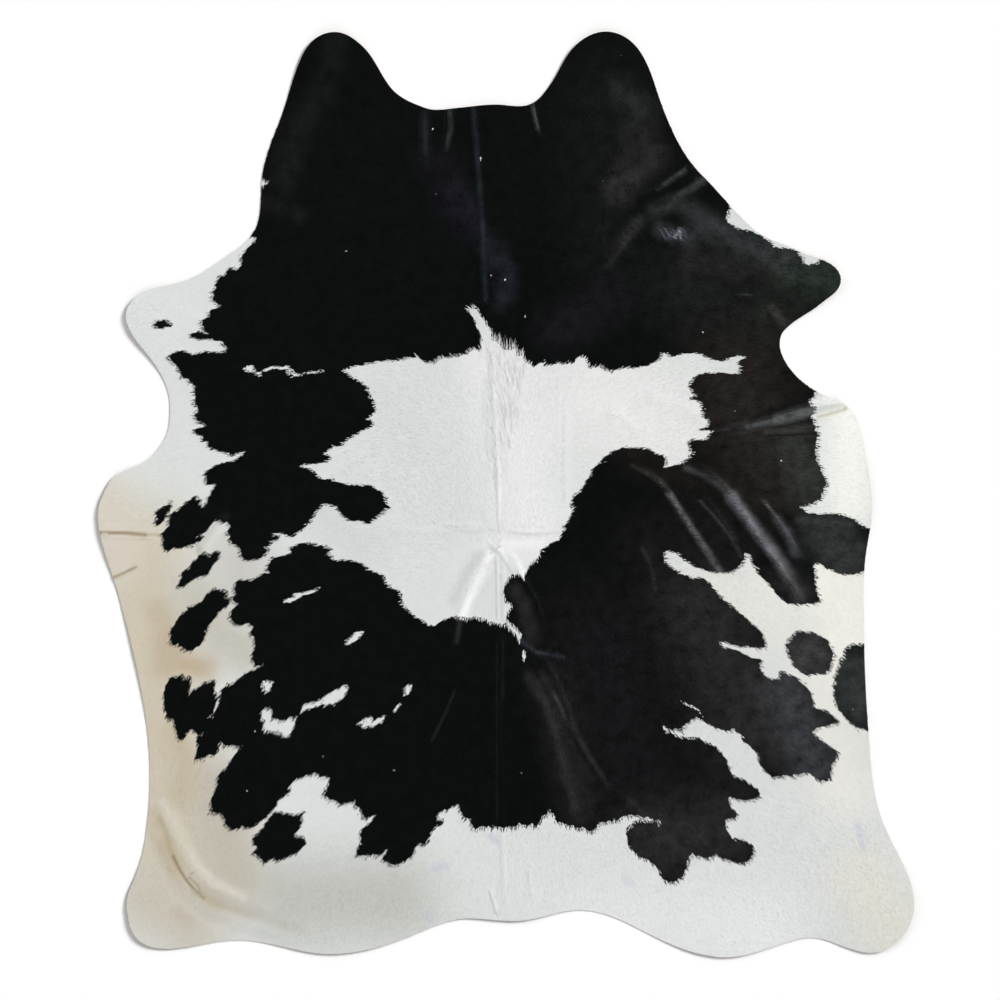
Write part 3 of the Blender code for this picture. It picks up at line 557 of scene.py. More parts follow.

# Colours as seen, from 0 to 1. Some rows are real tints of the hair, and others painted highlights, sheen and
# shade.
WHITE_TINTS_AND_PAINTED_LIGHT = (
    # Painted light: the rows named brighter, and the back's and the bottom's greyer ones, make the white
    # lighter on the hide's right and greyer on its left, as the light that falls from the right does.
    TintAndPaintedLight("upper right back, brighter", ((600, 400), (660, 425)), 110, (0.915, 0.915, 0.91), 1.0),
    TintAndPaintedLight("back, beside the spine", ((500, 370), (515, 440), (530, 530)), 70, (0.925, 0.926, 0.926), 1.0),
    TintAndPaintedLight("back, left, greyer", ((385, 400), (400, 430)), 45, (0.845, 0.862, 0.855), 1.0),
    TintAndPaintedLight("bottom right, brighter", ((620, 930), (760, 930)), 90, (0.893, 0.903, 0.898), 1.0),
    TintAndPaintedLight("bottom left, greyer", ((290, 900), (390, 900)), 90, (0.755, 0.758, 0.735), 1.0),
    TintAndPaintedLight("left side, warm", ((136, 560), (148, 700), (175, 850)), 110, (0.805, 0.772, 0.695), 1.0),
    TintAndPaintedLight("left flank, inner, greyer", ((240, 560), (240, 580)), 60, (0.795, 0.79, 0.772), 1.0),
    TintAndPaintedLight("left flank, inner, warm", ((195, 600), (225, 640), (245, 650)), 45, (0.775, 0.763, 0.72), 1.0),
    TintAndPaintedLight("left belly, inner, greyer", ((330, 520), (360, 545)), 50, (0.835, 0.848, 0.843), 1.0),
    TintAndPaintedLight("left thigh, warm", ((215, 790), (235, 880)), 60, (0.755, 0.728, 0.675), 0.9),
    TintAndPaintedLight("left belly, warm", ((108, 500), (118, 560)), 50, (0.84, 0.812, 0.758), 0.9),
    TintAndPaintedLight("left hind leg, warm", ((150, 900), (190, 930)), 70, (0.775, 0.75, 0.695), 0.9),
    TintAndPaintedLight("left flank, tan", ((164, 645), (180, 662), (204, 668)), 24, (0.755, 0.69, 0.59), 0.8),
    TintAndPaintedLight("left flank, tan, darker", ((172, 662), (196, 668)), 12, (0.745, 0.665, 0.55), 0.5),
    TintAndPaintedLight("left belly, tan", ((158, 612), (170, 640), (164, 668)), 24, (0.755, 0.7, 0.61), 0.8),
    TintAndPaintedLight("left thigh, tan", ((176, 735), (186, 765), (182, 795)), 26, (0.765, 0.72, 0.63), 0.8),
    TintAndPaintedLight("left hock, tan", ((168, 845), (176, 868)), 16, (0.745, 0.685, 0.58), 0.6),
    TintAndPaintedLight("left hind leg, tan", ((178, 912), (188, 922)), 12, (0.745, 0.705, 0.635), 0.6),
    TintAndPaintedLight("right belly, cream", ((850, 420), (850, 500)), 50, (0.975, 0.98, 0.955), 1.0),
    TintAndPaintedLight("right flank, cream", ((800, 575), (850, 600), (850, 650)), 80, (0.95, 0.943, 0.913), 1.0),
    TintAndPaintedLight("right flank, inner", ((710, 590), (770, 625)), 60, (0.905, 0.905, 0.88), 0.8),
    TintAndPaintedLight("right thigh, cream", ((820, 700), (845, 790)), 60, (0.92, 0.915, 0.89), 0.9),
    TintAndPaintedLight("right hind leg, cream", ((862, 880), (890, 925)), 60, (0.89, 0.878, 0.84), 0.9),
    TintAndPaintedLight("left edge, brown crease", ((96, 533), (124, 533), (146, 535)), 3.4, (0.53, 0.42, 0.28), 0.75),
    TintAndPaintedLight("left edge, brown crease's end", ((150, 535), (166, 535)), 2.4, (0.66, 0.56, 0.43), 0.5),
    TintAndPaintedLight("left edge, short crease", ((112, 578), (124, 573), (136, 567)), 2.6, (0.57, 0.46, 0.32), 0.7),
    TintAndPaintedLight("right flap, khaki crease", ((818, 417), (847, 409)), 3.0, (0.72, 0.69, 0.55), 0.6),
    # Painted light at the left hind leg's trough: a lighter band along its ridge, and painted shade in the
    # trough, along its creases and towards its ends.
    TintAndPaintedLight(
        "left hind leg, ridge", ((163, 802), (172, 820), (183, 843), (197, 866), (213, 883), (242, 897)),
        10, (0.845, 0.825, 0.775), 0.75,
    ),
    TintAndPaintedLight(
        "left hind leg, shade", ((154, 812), (164, 845), (184, 880), (218, 904)),
        13, (0.7, 0.65, 0.55), 0.4,
    ),
    TintAndPaintedLight(
        "left hind leg, trough", ((160, 818), (166, 833), (170, 848), (176, 862)),
        5, (0.66, 0.6, 0.49), 0.5,
    ),
    TintAndPaintedLight(
        "left hind leg, crease", ((173, 856), (180, 870), (187, 881), (196, 891), (204, 898)),
        2.6, (0.48, 0.42, 0.32), 0.75,
    ),
    TintAndPaintedLight(
        "left hind leg, forked crease", ((187, 881), (190, 875), (194, 872)),
        1.6, (0.6, 0.56, 0.47), 0.5,
    ),
    TintAndPaintedLight("left hind leg, inner crease", ((190, 878), (198, 886), (202, 897)), 2, (0.58, 0.52, 0.42), 0.6),
    TintAndPaintedLight(
        "left hind leg, trough's end", ((196, 892), (212, 902), (232, 909), (250, 915)),
        8, (0.67, 0.63, 0.53), 0.5,
    ),
    TintAndPaintedLight("left hind leg, trough's far end", ((256, 916), (300, 929)), 8, (0.7, 0.68, 0.62), 0.3),
    TintAndPaintedLight("loin, spine's thin line", ((496, 553), (496, 574)), 1.5, (0.74, 0.74, 0.73), 0.6),
    TintAndPaintedLight("loin, spine's left line", ((496, 574), (496.5, 618)), 1.5, (0.8, 0.793, 0.78), 0.6),
    TintAndPaintedLight("loin, spine's right line", ((500, 574), (501, 618)), 1.5, (0.8, 0.793, 0.78), 0.6),
    # Painted highlights and painted shade: the rows named light, shade and greyer down to the spine's rear
    # light lie on the lit and shaded sides of the loin's ridges, the storage folds and the spine.
    TintAndPaintedLight(
        "loin, left ridge's light", ((490, 554), (478, 577), (469, 597), (462, 617)),
        8, (0.97, 0.972, 0.97), 0.9,
    ),
    TintAndPaintedLight("loin, left ridge's shade", ((480, 554), (465, 576), (453, 601)), 9, (0.785, 0.8, 0.795), 0.75),
    TintAndPaintedLight("loin, right ridge's light", ((503, 551), (514, 563), (523, 576)), 6, (0.975, 0.98, 0.975), 0.8),
    TintAndPaintedLight("loin, right ridge's shade", ((499, 554), (508, 567), (515, 577)), 4, (0.79, 0.8, 0.795), 0.6),
    TintAndPaintedLight("storage fold, right, shade", ((508, 532), (530, 534), (562, 533)), 3, (0.81, 0.815, 0.81), 0.6),
    TintAndPaintedLight("storage fold, right, light", ((505, 543), (542, 543)), 6, (0.955, 0.955, 0.955), 0.4),
    TintAndPaintedLight("storage fold, left, shade", ((452, 530), (475, 532), (494, 530)), 3, (0.82, 0.83, 0.825), 0.5),
    TintAndPaintedLight("spine, left, greyer", ((487, 385), (490, 450)), 9, (0.88, 0.896, 0.89), 0.8),
    TintAndPaintedLight("spine, fore shade", ((490, 352), (493, 372), (494, 384)), 1.5, (0.78, 0.775, 0.77), 0.6),
    TintAndPaintedLight("spine, rear shade", ((496, 455), (497, 520), (499, 532)), 1.5, (0.79, 0.795, 0.79), 0.6),
    TintAndPaintedLight("spine, rear light", ((499.5, 460), (500.5, 520)), 2.2, (0.955, 0.955, 0.955), 0.5),
    TintAndPaintedLight("loin knot", ((492, 545), (496, 549), (500, 546)), 2.0, (0.7, 0.71, 0.7), 0.6),
    TintAndPaintedLight("back, dark pit", ((491, 427.5), (491.5, 428.5)), 1.6, (0.6, 0.61, 0.6), 0.7),
    TintAndPaintedLight("tail, violet stain", ((490, 836), (497, 842)), 6, (0.78, 0.78, 0.86), 0.6),
    TintAndPaintedLight("bottom, violet stain", ((434, 868), (446, 866)), 7, (0.76, 0.78, 0.85), 0.5),
    TintAndPaintedLight("bottom, violet stain, left", ((425, 916), (432, 920)), 6, (0.76, 0.77, 0.85), 0.5),
    TintAndPaintedLight("right rump, violet stain", ((624, 880), (632, 884)), 6, (0.78, 0.79, 0.87), 0.4),
    TintAndPaintedLight("right hock, violet stain", ((858, 826), (864, 848)), 6, (0.8, 0.79, 0.88), 0.5),
) + tuple(TintAndPaintedLight("withers, dark strand", line, 1.3, (0.77, 0.765, 0.76), 0.65) for line in DARK_STRANDS)

BLACK_TINTS_AND_PAINTED_LIGHT = (
    # The first rows make the black lighter over broad places, mostly on the hide's right side.
    TintAndPaintedLight("right cheek and neck, faded", ((600, 90), (606, 250)), 70, (0.062, 0.07, 0.069), 1.0),
    TintAndPaintedLight("right shoulder, faded", ((690, 290), (760, 330)), 80, (0.092, 0.098, 0.096), 1.0),
    TintAndPaintedLight("right belly, faded", ((735, 385), (770, 470)), 90, (0.137, 0.122, 0.112), 1.0),
    TintAndPaintedLight("right loin, faded", ((600, 640), (640, 780)), 110, (0.072, 0.069, 0.078), 1.0),
    TintAndPaintedLight("right thigh, faded", ((700, 600), (750, 730)), 80, (0.15, 0.147, 0.147), 1.0),
    TintAndPaintedLight("right thigh, outer side", ((785, 690), (815, 765)), 46, (0.232, 0.238, 0.25), 0.9),
    TintAndPaintedLight("right hock, faded", ((660, 840), (720, 830)), 70, (0.155, 0.151, 0.153), 1.0),
    TintAndPaintedLight("right rump, faded", ((553, 690), (580, 810)), 34, (0.112, 0.108, 0.114), 1.0),
    TintAndPaintedLight("right flank, upper, greenish", ((795, 440), (812, 488)), 40, (0.19, 0.2, 0.19), 0.9),
    TintAndPaintedLight("right flank, fore, brown", ((636, 450), (690, 478)), 36, (0.098, 0.088, 0.082), 0.8),
    TintAndPaintedLight(
        "right flank, between the folds", ((650, 545), (700, 525), (745, 560)),
        56, (0.08, 0.078, 0.078), 0.8,
    ),
    TintAndPaintedLight("right flank, below the folds", ((785, 578), (806, 598)), 26, (0.15, 0.155, 0.152), 0.8),
    TintAndPaintedLight("right foreleg, greenish", ((785, 265), (812, 280), (836, 278)), 36, (0.168, 0.197, 0.175), 1.0),
    TintAndPaintedLight("right shoulder, mottled", ((690, 262), (760, 268)), 24, (0.127, 0.129, 0.125), 0.9),
    TintAndPaintedLight("right shoulder, rear, violet", ((560, 330), (610, 300)), 40, (0.086, 0.08, 0.102), 0.9),
    TintAndPaintedLight("right foreleg, rear side, greenish", ((770, 315), (795, 325)), 40, (0.12, 0.13, 0.118), 0.8),
    TintAndPaintedLight("right flank edge, faded", ((828, 535), (850, 560)), 44, (0.198, 0.21, 0.205), 1.0),
    TintAndPaintedLight("right flank, round spot", ((808, 650), (812, 656)), 40, (0.232, 0.234, 0.232), 1.0),
    TintAndPaintedLight("right flank, edge spot", ((855, 680), (858, 700)), 50, (0.19, 0.208, 0.204), 1.0),
    # Painted sheen: the rows named sheen are lighter bands painted where the gloss of the black hair catches
    # the light.
    TintAndPaintedLight("left cheek tip, sheen", ((336, 44), (330, 70)), 24, (0.066, 0.082, 0.079), 0.9),
    TintAndPaintedLight("left cheek, sheen", ((322, 96), (296, 130), (284, 180)), 24, (0.074, 0.09, 0.087), 1.0),
    TintAndPaintedLight("left neck, sheen", ((266, 202), (300, 216)), 14, (0.074, 0.09, 0.086), 0.8),
    TintAndPaintedLight("neck pleat, sheen", ((424, 116), (425, 160)), 8, (0.112, 0.132, 0.152), 0.8),
    TintAndPaintedLight("inner neck pleat, sheen", ((450, 110), (451, 128), (446, 150)), 4, (0.19, 0.215, 0.22), 0.7),
    TintAndPaintedLight("spine, sheen", ((473, 108), (478, 170), (482, 230), (486, 300)), 4, (0.13, 0.155, 0.18), 0.7),
    TintAndPaintedLight("neck, dark violet", ((440, 165), (462, 215)), 34, (0.066, 0.062, 0.085), 0.9),
    TintAndPaintedLight("right neck pleat, sheen", ((532, 106), (537, 128)), 3.5, (0.24, 0.26, 0.27), 0.7),
    TintAndPaintedLight("neck, slanting sheen", ((456, 190), (484, 240), (508, 290)), 18, (0.092, 0.094, 0.125), 0.8),
    TintAndPaintedLight("withers, sheen", ((500, 250), (510, 275), (500, 305)), 14, (0.11, 0.12, 0.145), 0.8),
    TintAndPaintedLight("right cheek, sheen", ((622, 92), (645, 112), (634, 140)), 24, (0.132, 0.147, 0.139), 0.9),
    TintAndPaintedLight("right neck, sheen", ((652, 156), (634, 170), (618, 190)), 26, (0.176, 0.176, 0.174), 0.9),
    TintAndPaintedLight("right neck, mottled", ((640, 130), (636, 150)), 30, (0.11, 0.112, 0.108), 0.7),
    # Painted highlights: the rows of the right shoulder's wrinkles are lighter bands painted along their lit
    # sides, and its upper sheen is painted sheen.
    TintAndPaintedLight(
        "right shoulder, fore wrinkle", ((664, 185), (676, 176.5), (700, 160)),
        3.4, (0.275, 0.29, 0.288), 0.75,
    ),
    TintAndPaintedLight(
        "right shoulder, fore wrinkle's start", ((657, 190.5), (666, 184)),
        2.6, (0.215, 0.225, 0.225), 0.5,
    ),
    TintAndPaintedLight(
        "right shoulder, rear wrinkle", ((662, 208), (680, 196), (704, 180)),
        5.5, (0.265, 0.273, 0.276), 0.85,
    ),
    TintAndPaintedLight(
        "right shoulder, upper sheen", ((655, 212), (670, 204), (690, 205)),
        14, (0.18, 0.184, 0.186), 0.8,
    ),
    TintAndPaintedLight(
        "right shoulder, long wrinkle", ((641, 219), (630, 232), (617, 250)),
        8, (0.195, 0.195, 0.197), 0.8,
    ),
    TintAndPaintedLight("right shoulder, long wrinkle's end", ((617, 250), (608, 266)), 7, (0.125, 0.125, 0.125), 0.7),
    # Painted sheen: the haze and the streaks at the whorl, the shoulder blade's haze and the sheens after it
    # are painted highlights of the hair.
    TintAndPaintedLight("whorl, haze", ((660, 230), (690, 240)), 14, (0.2, 0.21, 0.222), 0.7),
    TintAndPaintedLight("whorl, streak", ((665, 229), (670, 237)), 1.5, (0.43, 0.45, 0.485), 0.75),
    TintAndPaintedLight("whorl, second streak", ((674, 237.5), (681, 229)), 2.0, (0.62, 0.64, 0.67), 0.8),
    TintAndPaintedLight("whorl, upright streak", ((680, 230), (680.5, 239)), 1.7, (0.59, 0.61, 0.64), 0.75),
    TintAndPaintedLight("whorl, third streak", ((668, 238), (673, 230)), 1.4, (0.4, 0.42, 0.455), 0.7),
    TintAndPaintedLight("whorl, outer streak", ((661, 230), (666, 240)), 1.5, (0.38, 0.4, 0.43), 0.7),
    TintAndPaintedLight("whorl, short streak", ((684, 228), (686, 238)), 1.4, (0.32, 0.335, 0.36), 0.7),
    TintAndPaintedLight("shoulder blade, haze", ((700, 222), (745, 243), (785, 258)), 24, (0.186, 0.2, 0.2), 1.0),
    TintAndPaintedLight("shoulder blade, sheen", ((738, 295), (751, 295)), 2, (0.25, 0.258, 0.256), 0.55),
    TintAndPaintedLight("right foreleg, rear sheen", ((772, 308), (782, 322)), 6, (0.265, 0.26, 0.26), 0.75),
    # Painted highlights along the right belly's folds, with painted shade above and below the main fold and
    # in the small fold's crease.
    TintAndPaintedLight(
        "right belly fold, thin end", ((716, 430), (735, 429.5), (754, 426)),
        3, (0.215, 0.212, 0.22), 0.6,
    ),
    TintAndPaintedLight("right belly fold, sheen", ((748, 427), (770, 422), (792, 416.5)), 4, (0.345, 0.355, 0.36), 0.85),
    TintAndPaintedLight(
        "right belly fold, broad end", ((778, 419.5), (800, 414), (816, 410)),
        7.5, (0.38, 0.392, 0.395), 0.85,
    ),
    TintAndPaintedLight(
        "right belly fold, shade", ((752, 420), (768, 412), (785, 406), (808, 401)),
        5.5, (0.075, 0.075, 0.08), 0.9,
    ),
    TintAndPaintedLight(
        "right belly fold, lower shade", ((770, 429), (800, 423), (815, 420)),
        2, (0.08, 0.075, 0.075), 0.7,
    ),
    TintAndPaintedLight(
        "right belly, small fold", ((766, 432.5), (790, 430), (818, 427)),
        4.5, (0.225, 0.232, 0.225), 0.7,
    ),
    TintAndPaintedLight(
        "right belly, small fold's crease", ((768, 436), (800, 434.5), (818, 433)),
        1.8, (0.07, 0.07, 0.066), 0.8,
    ),
    # Painted highlights along the right flank's folds and wrinkles; the haze beside the small fold is painted
    # sheen.
    TintAndPaintedLight(
        "right flank, inner fold's start", ((632, 465), (645, 472.5), (659, 482), (670, 496)),
        3.4, (0.215, 0.205, 0.2), 0.65,
    ),
    TintAndPaintedLight(
        "right flank, inner fold", ((669, 494), (684, 516), (699, 540), (720, 572)),
        5.2, (0.355, 0.355, 0.36), 0.9,
    ),
    TintAndPaintedLight(
        "right flank, main fold's start", ((686, 468), (703, 475.5), (719, 486), (732, 499)),
        5, (0.285, 0.28, 0.282), 0.65,
    ),
    TintAndPaintedLight(
        "right flank, main fold", ((731, 497), (746, 517), (762, 538), (777, 558), (787, 575)),
        10, (0.395, 0.392, 0.415), 0.9,
    ),
    TintAndPaintedLight("right flank, main fold's end", ((785, 572), (798, 596)), 11, (0.26, 0.26, 0.265), 0.8),
    TintAndPaintedLight(
        "right flank, wrinkle between", ((700, 501), (714, 516), (728, 533), (742, 557)),
        2.9, (0.255, 0.245, 0.25), 0.7,
    ),
    TintAndPaintedLight("right flank, outer fold's start", ((765, 502), (776, 519)), 3, (0.26, 0.27, 0.265), 0.7),
    TintAndPaintedLight("right flank, outer fold", ((777, 520), (787, 534), (796, 554)), 8, (0.28, 0.282, 0.3), 0.8),
    TintAndPaintedLight("right flank, small fold's haze", ((800, 520), (850, 524)), 7, (0.23, 0.24, 0.238), 0.6),
    TintAndPaintedLight("right flank, short wrinkle", ((642, 548), (652, 566), (656, 590)), 4, (0.18, 0.182, 0.186), 0.7),
    # All rows below but the hock's streaks are painted sheen and highlights along the rump's spine, wrinkles,
    # folds and lines and on the loin, with painted shade in the long wrinkle's crease.
    TintAndPaintedLight("rump, spine sheen", ((520, 640), (536, 652), (564, 657)), 3, (0.19, 0.205, 0.23), 0.8),
    TintAndPaintedLight(
        "rump, long wrinkle", ((540, 672), (556, 700), (580, 742), (608, 785)),
        4.5, (0.15, 0.155, 0.162), 0.6,
    ),
    TintAndPaintedLight(
        "rump, long wrinkle's light", ((553, 692), (558, 701), (566, 719)),
        2.6, (0.235, 0.24, 0.245), 0.75,
    ),
    TintAndPaintedLight(
        "rump, long wrinkle's crease", ((564, 724), (575, 742), (587, 761)),
        1.6, (0.05, 0.05, 0.055), 0.6,
    ),
    TintAndPaintedLight("rump, ridge's end", ((460, 620), (457, 642)), 4, (0.17, 0.168, 0.185), 0.8),
    TintAndPaintedLight(
        "rump, broad fold", ((528, 678), (551, 712), (563, 760), (577, 815)),
        10, (0.145, 0.145, 0.153), 0.8,
    ),
    TintAndPaintedLight("rump, spine's left", ((497, 645), (497, 820)), 2.0, (0.11, 0.115, 0.122), 0.5),
    TintAndPaintedLight("rump, spine's right", ((503, 640), (503, 700)), 2.0, (0.11, 0.115, 0.122), 0.5),
    TintAndPaintedLight("left rump, short line", ((455, 690), (446, 712), (432, 740)), 2.4, (0.15, 0.158, 0.16), 0.5),
    TintAndPaintedLight("right hock, streaks", ((630, 800), (652, 822)), 6, (0.165, 0.163, 0.165), 0.6),
    TintAndPaintedLight("loin, sheen", ((514, 590), (524, 604), (532, 640)), 13, (0.142, 0.141, 0.143), 0.9),
)

# Where the hair is longer and coarser than elsewhere.
LONG_HAIR = (
    Strands("withers", ((506, 345), (506, 425)), 24, 1.0),
    Strands("back", ((502, 425), (502, 485)), 16, 0.6),
    Strands("withers streak", ((474, 312), (486, 345)), 12, 0.4),
    Strands("spine, left of the strands", ((490, 350), (492, 470)), 9, 0.6),
)

# Places of the tiny tufts of pale hair in the black.
FLECKS = (
    (433, 129), (436, 194), (346, 251), (481, 158), (603, 181), (621, 56), (525, 317), (491, 276), (505, 280),
    (703, 332), (255, 731), (247, 791), (323, 756), (394, 770), (521, 773), (735, 411), (693, 425),
    (781, 461), (823, 499), (853, 709), (700, 713), (703, 717),
)


def bell(distance: np.ndarray, reach: float) -> np.ndarray:
    """A smooth bump: 1 at its middle, 0 from its reach outwards.

    Args:
        distance: How far each place lies from the bump's middle.
        reach: The distance at which the bump ends.

    Returns:
        The bump's height at each place.
    """
    share = np.clip(np.abs(distance) / reach, 0.0, 1.0)
    return np.cos(0.5 * math.pi * share) ** 2


def linear(seen: tuple) -> tuple:
    """The linear colour of a colour as it is seen.

    Args:
        seen: Red, green and blue, from 0 to 1.

    Returns:
        The three numbers that a shader works with.
    """
    return tuple(c / 12.92 if c <= 0.04045 else ((c + 0.055) / 1.055) ** 2.4 for c in seen)


def from_board(places: tuple) -> np.ndarray:
    """Places on the board in metres, in the hide's own frame.

    Args:
        places: Pairs of board steps, right and down from the top left corner.

    Returns:
        One row of x and y for each place.
    """
    steps = np.array(places, float).reshape(-1, 2) - np.array(BOARD_MIDDLE)
    return steps * np.array((BOARD_STEP, -BOARD_STEP))


class Line:
    """A line of straight pieces which places can be measured from."""

    def __init__(self, points: np.ndarray) -> None:
        """Keeps the line's pieces.

        Args:
            points: The line's corners, one row each.
        """
        self.starts = points[:-1]
        self.steps = points[1:] - points[:-1]
        self.lengths = np.linalg.norm(self.steps, axis=1)
        self.before = np.concatenate(((0.0,), np.cumsum(self.lengths)[:-1]))

    def alongside(self, places: np.ndarray) -> tuple:
        """How far each place lies to the side of the line, and how far along it.

        Args:
            places: One row of x and y for each place.

        Returns:
            The distance, positive on the line's left, and the share of the line's length, from 0 to 1.
        """
        offset = places[:, None] - self.starts[None]
        share = np.clip((offset * self.steps).sum(2) / self.lengths**2, 0.0, 1.0)
        offset -= share[:, :, None] * self.steps
        distance = np.linalg.norm(offset, axis=2)
        best = distance.argmin(1)
        row = np.arange(len(places))
        step, offset = self.steps[best], offset[row, best]
        side = np.copysign(distance[row, best], step[:, 0] * offset[:, 1] - step[:, 1] * offset[:, 0])
        return side, (self.before[best] + self.lengths[best] * share[row, best]) / self.lengths.sum()


class Border:
    """Closed outlines, in fine steps, which places can be measured from."""

    def __init__(self, runs: list) -> None:
        """Keeps the outlines' points.

        Args:
            runs: The points of each outline, one row each.
        """
        self.points = np.concatenate(runs)
        self.steps = np.concatenate([np.roll(run, -1, axis=0) - run for run in runs])
        self.tree = kdtree.KDTree(len(self.points))
        for index, (x, y) in enumerate(self.points):
            self.tree.insert((x, y, 0.0), index)
        self.tree.balance()

    def nearest(self, places: np.ndarray) -> tuple:
        """Finds the nearest point of the outlines to each place.

        Args:
            places: One row of x and y for each place.

        Returns:
            The distances, and the points' places in the list.
        """
        found = [self.tree.find((x, y, 0.0))[1:] for x, y in places]
        index, distance = zip(*found)
        return np.array(distance), np.array(index)

    def encloses(self, places: np.ndarray) -> np.ndarray:
        """Whether an odd number of the outlines goes round each place.

        Args:
            places: One row of x and y for each place.

        Returns:
            True where a line to the right of the place crosses an odd number of pieces.
        """
        start, end = self.points, self.points + self.steps
        low, high = np.minimum(start, end)[:, 1], np.maximum(start, end)[:, 1]
        within = np.zeros(len(places), bool)
        order = places[:, 1].argsort()
        for first in range(0, len(order), CHUNK):
            chunk = order[first : first + CHUNK]
            x, y = places[chunk].T[:, :, None]
            near = (low <= y.max()) & (high > y.min()) & (low < high)
            at = start[near, 0] + (y - start[near, 1]) * self.steps[near, 0] / self.steps[near, 1]
            crossed = (low[near] <= y) & (high[near] > y) & (at > x)
            within[chunk] = crossed.sum(1) % 2 == 1
        return within


def smooth_knots(knots: np.ndarray, pitch: float, closed: bool = True) -> np.ndarray:
    """A smooth run of points through a line's own points.

    Args:
        knots: The line's own points.
        pitch: About how far apart the new points are.
        closed: Whether the last point is joined to the first.

    Returns:
        The new points, which include the old ones.
    """
    count = len(knots)
    if closed:
        around = [knots[index % count] for index in range(-1, count + 2)]
    else:
        around = [2 * knots[0] - knots[1], *knots, 2 * knots[-1] - knots[-2]]
    points = []
    for before, start, end, after in zip(around, around[1:], around[2:], around[3:]):
        steps = max(2, round(float(np.linalg.norm(end - start)) / pitch))
        handles = (start, start + (end - before) / 6.0, end - (after - start) / 6.0, end)
        curve = interpolate_bezier(*(Vector((*handle, 0.0)) for handle in handles), steps + 1)
        points.extend(tuple(point)[:2] for point in curve[:-1])
    if not closed:
        points.append(tuple(knots[-1]))
    return np.array(points)


@dataclass
class Ground:
    """The hide's shape as it lies: its edge, its folds and its swells."""

    outline_step: float = 0.006
    path_step: float = 0.034
    path_margin: float = 0.03
    steepest: float = 0.5
    slope_step: float = 0.002
    fade: float = 0.22
    slowest: float = 0.05
    rim_hair: float = 3.0
    edge: Border = field(init=False)
    centre: np.ndarray = field(init=False)

    def __post_init__(self) -> None:
        """Works out the edge once, and the middle of its box, which is the frame's origin."""
        self.edge = Border([self._edge_run()])
        self.centre = 0.5 * (self.edge.points.max(0) + self.edge.points.min(0))

    def _edge_run(self) -> np.ndarray:
        """The edge as a closed run of points, clockwise.

        Returns:
            One row of x and y for each point.
        """
        points = []
        for here, there in zip(EDGE, EDGE[1:] + EDGE[:1]):
            start = Vector((here.x_cm, here.y_cm, 0.0)) * CM
            end = Vector((there.x_cm, there.y_cm, 0.0)) * CM
            turn = math.radians(max(abs((there.heading_deg - here.heading_deg + 180.0) % 360.0 - 180.0), 1.0))
            chord = (end - start).length
            handle = chord * (2.0 / 3.0) * math.tan(turn / 4.0) / math.sin(turn / 2.0)
            lead_in = start + handle * self._way(here.heading_deg)
            lead_out = end - handle * self._way(there.heading_deg)
            steps = max(2, round(chord / self.outline_step))
            curve = interpolate_bezier(start, lead_in, lead_out, end, steps + 1)
            points.extend((p.x, p.y) for p in curve[:-1])
        return np.array(points)

    @staticmethod
    def _way(heading_deg: float) -> Vector:
        """The direction with this heading."""
        return Vector((math.cos(math.radians(heading_deg)), math.sin(math.radians(heading_deg)), 0.0))

    def room(self, places: np.ndarray, ways: np.ndarray, overhang: float, most: float) -> np.ndarray:
        """How far hair may reach before it passes the hide's edge.

        Args:
            places: One row of x and y for each hair's root.
            ways: The direction of each hair.
            overhang: How far the tips may stand out past the edge.
            most: No hair is longer than this.

        Returns:
            The length that each hair may have.
        """
        _, index = self.edge.nearest(places)
        along = self.edge.points[(index + 1) % len(self.edge.points)] - self.edge.points[index - 1]
        outwards = np.stack((-along[:, 1], along[:, 0]), 1) / np.linalg.norm(along, axis=1)[:, None]
        gap = np.maximum(((self.edge.points[index] - places) * outwards).sum(1), 0.0)
        speed = np.maximum((ways * outwards).sum(1), self.slowest)
        longest = np.where(gap < overhang, self.rim_hair * overhang, most)
        return np.minimum((gap + overhang) / speed, longest)

    def relief(self, places: np.ndarray) -> np.ndarray:
        """How far the underside is lifted off the floor.

        Args:
            places: One row of x and y for each place.

        Returns:
            The height at each place, in metres.
        """
        height = np.zeros(len(places))
        for swell in SWELLS:
            middle = np.array((swell.x_cm, swell.y_cm)) * CM
            distance = np.linalg.norm(places - middle, axis=1)
            height += swell.height_mm * MM * bell(distance, swell.reach_cm * CM)
        for fold in FOLDS + WRINKLES:
            slope = math.pi * fold.height_mm * MM / (fold.width_cm * CM)
            height += min(SHOWN.get(fold.place, 1.0), self.steepest / slope) * self._fold_height(fold, places)
        return height

    def upright(self, places: np.ndarray) -> np.ndarray:
        """The direction that is square to the hide.

        Args:
            places: One row of x and y for each place.

        Returns:
            A direction for each place, with a rise of 1.
        """
        slopes = []
        for axis in (0, 1):
            step = np.zeros(2)
            step[axis] = 0.5 * self.slope_step
            rise = self.relief(places + step) - self.relief(places - step)
            slopes.append(-rise / self.slope_step)
        return np.stack((*slopes, np.ones(len(places))), 1)

    def _fold_height(self, fold: Fold, places: np.ndarray) -> np.ndarray:
        """How far one fold lifts the hide.

        Args:
            fold: The fold.
            places: One row of x and y for each place.

        Returns:
            The height at each place.
        """
        knots = np.array(fold.path_cm) * CM
        half, spacing = 0.5 * fold.width_cm * CM, 0.5 * fold.spacing_cm * CM
        line = Line(smooth_knots(knots, self.path_step, closed=False))
        reach = half + spacing + self.path_margin
        near = ((places > knots.min(0) - reach) & (places < knots.max(0) + reach)).all(1)
        height = np.zeros(len(places))
        if near.any():
            side, along = line.alongside(places[near])
            ends = 1.0 - bell(np.minimum(along, 1.0 - along), self.fade)
            ridges = (-spacing, spacing) if spacing else (0.0,)
            lift = sum(bell(side - ridge, half) for ridge in ridges)
            height[near] = fold.height_mm * MM * ends * lift
        return height


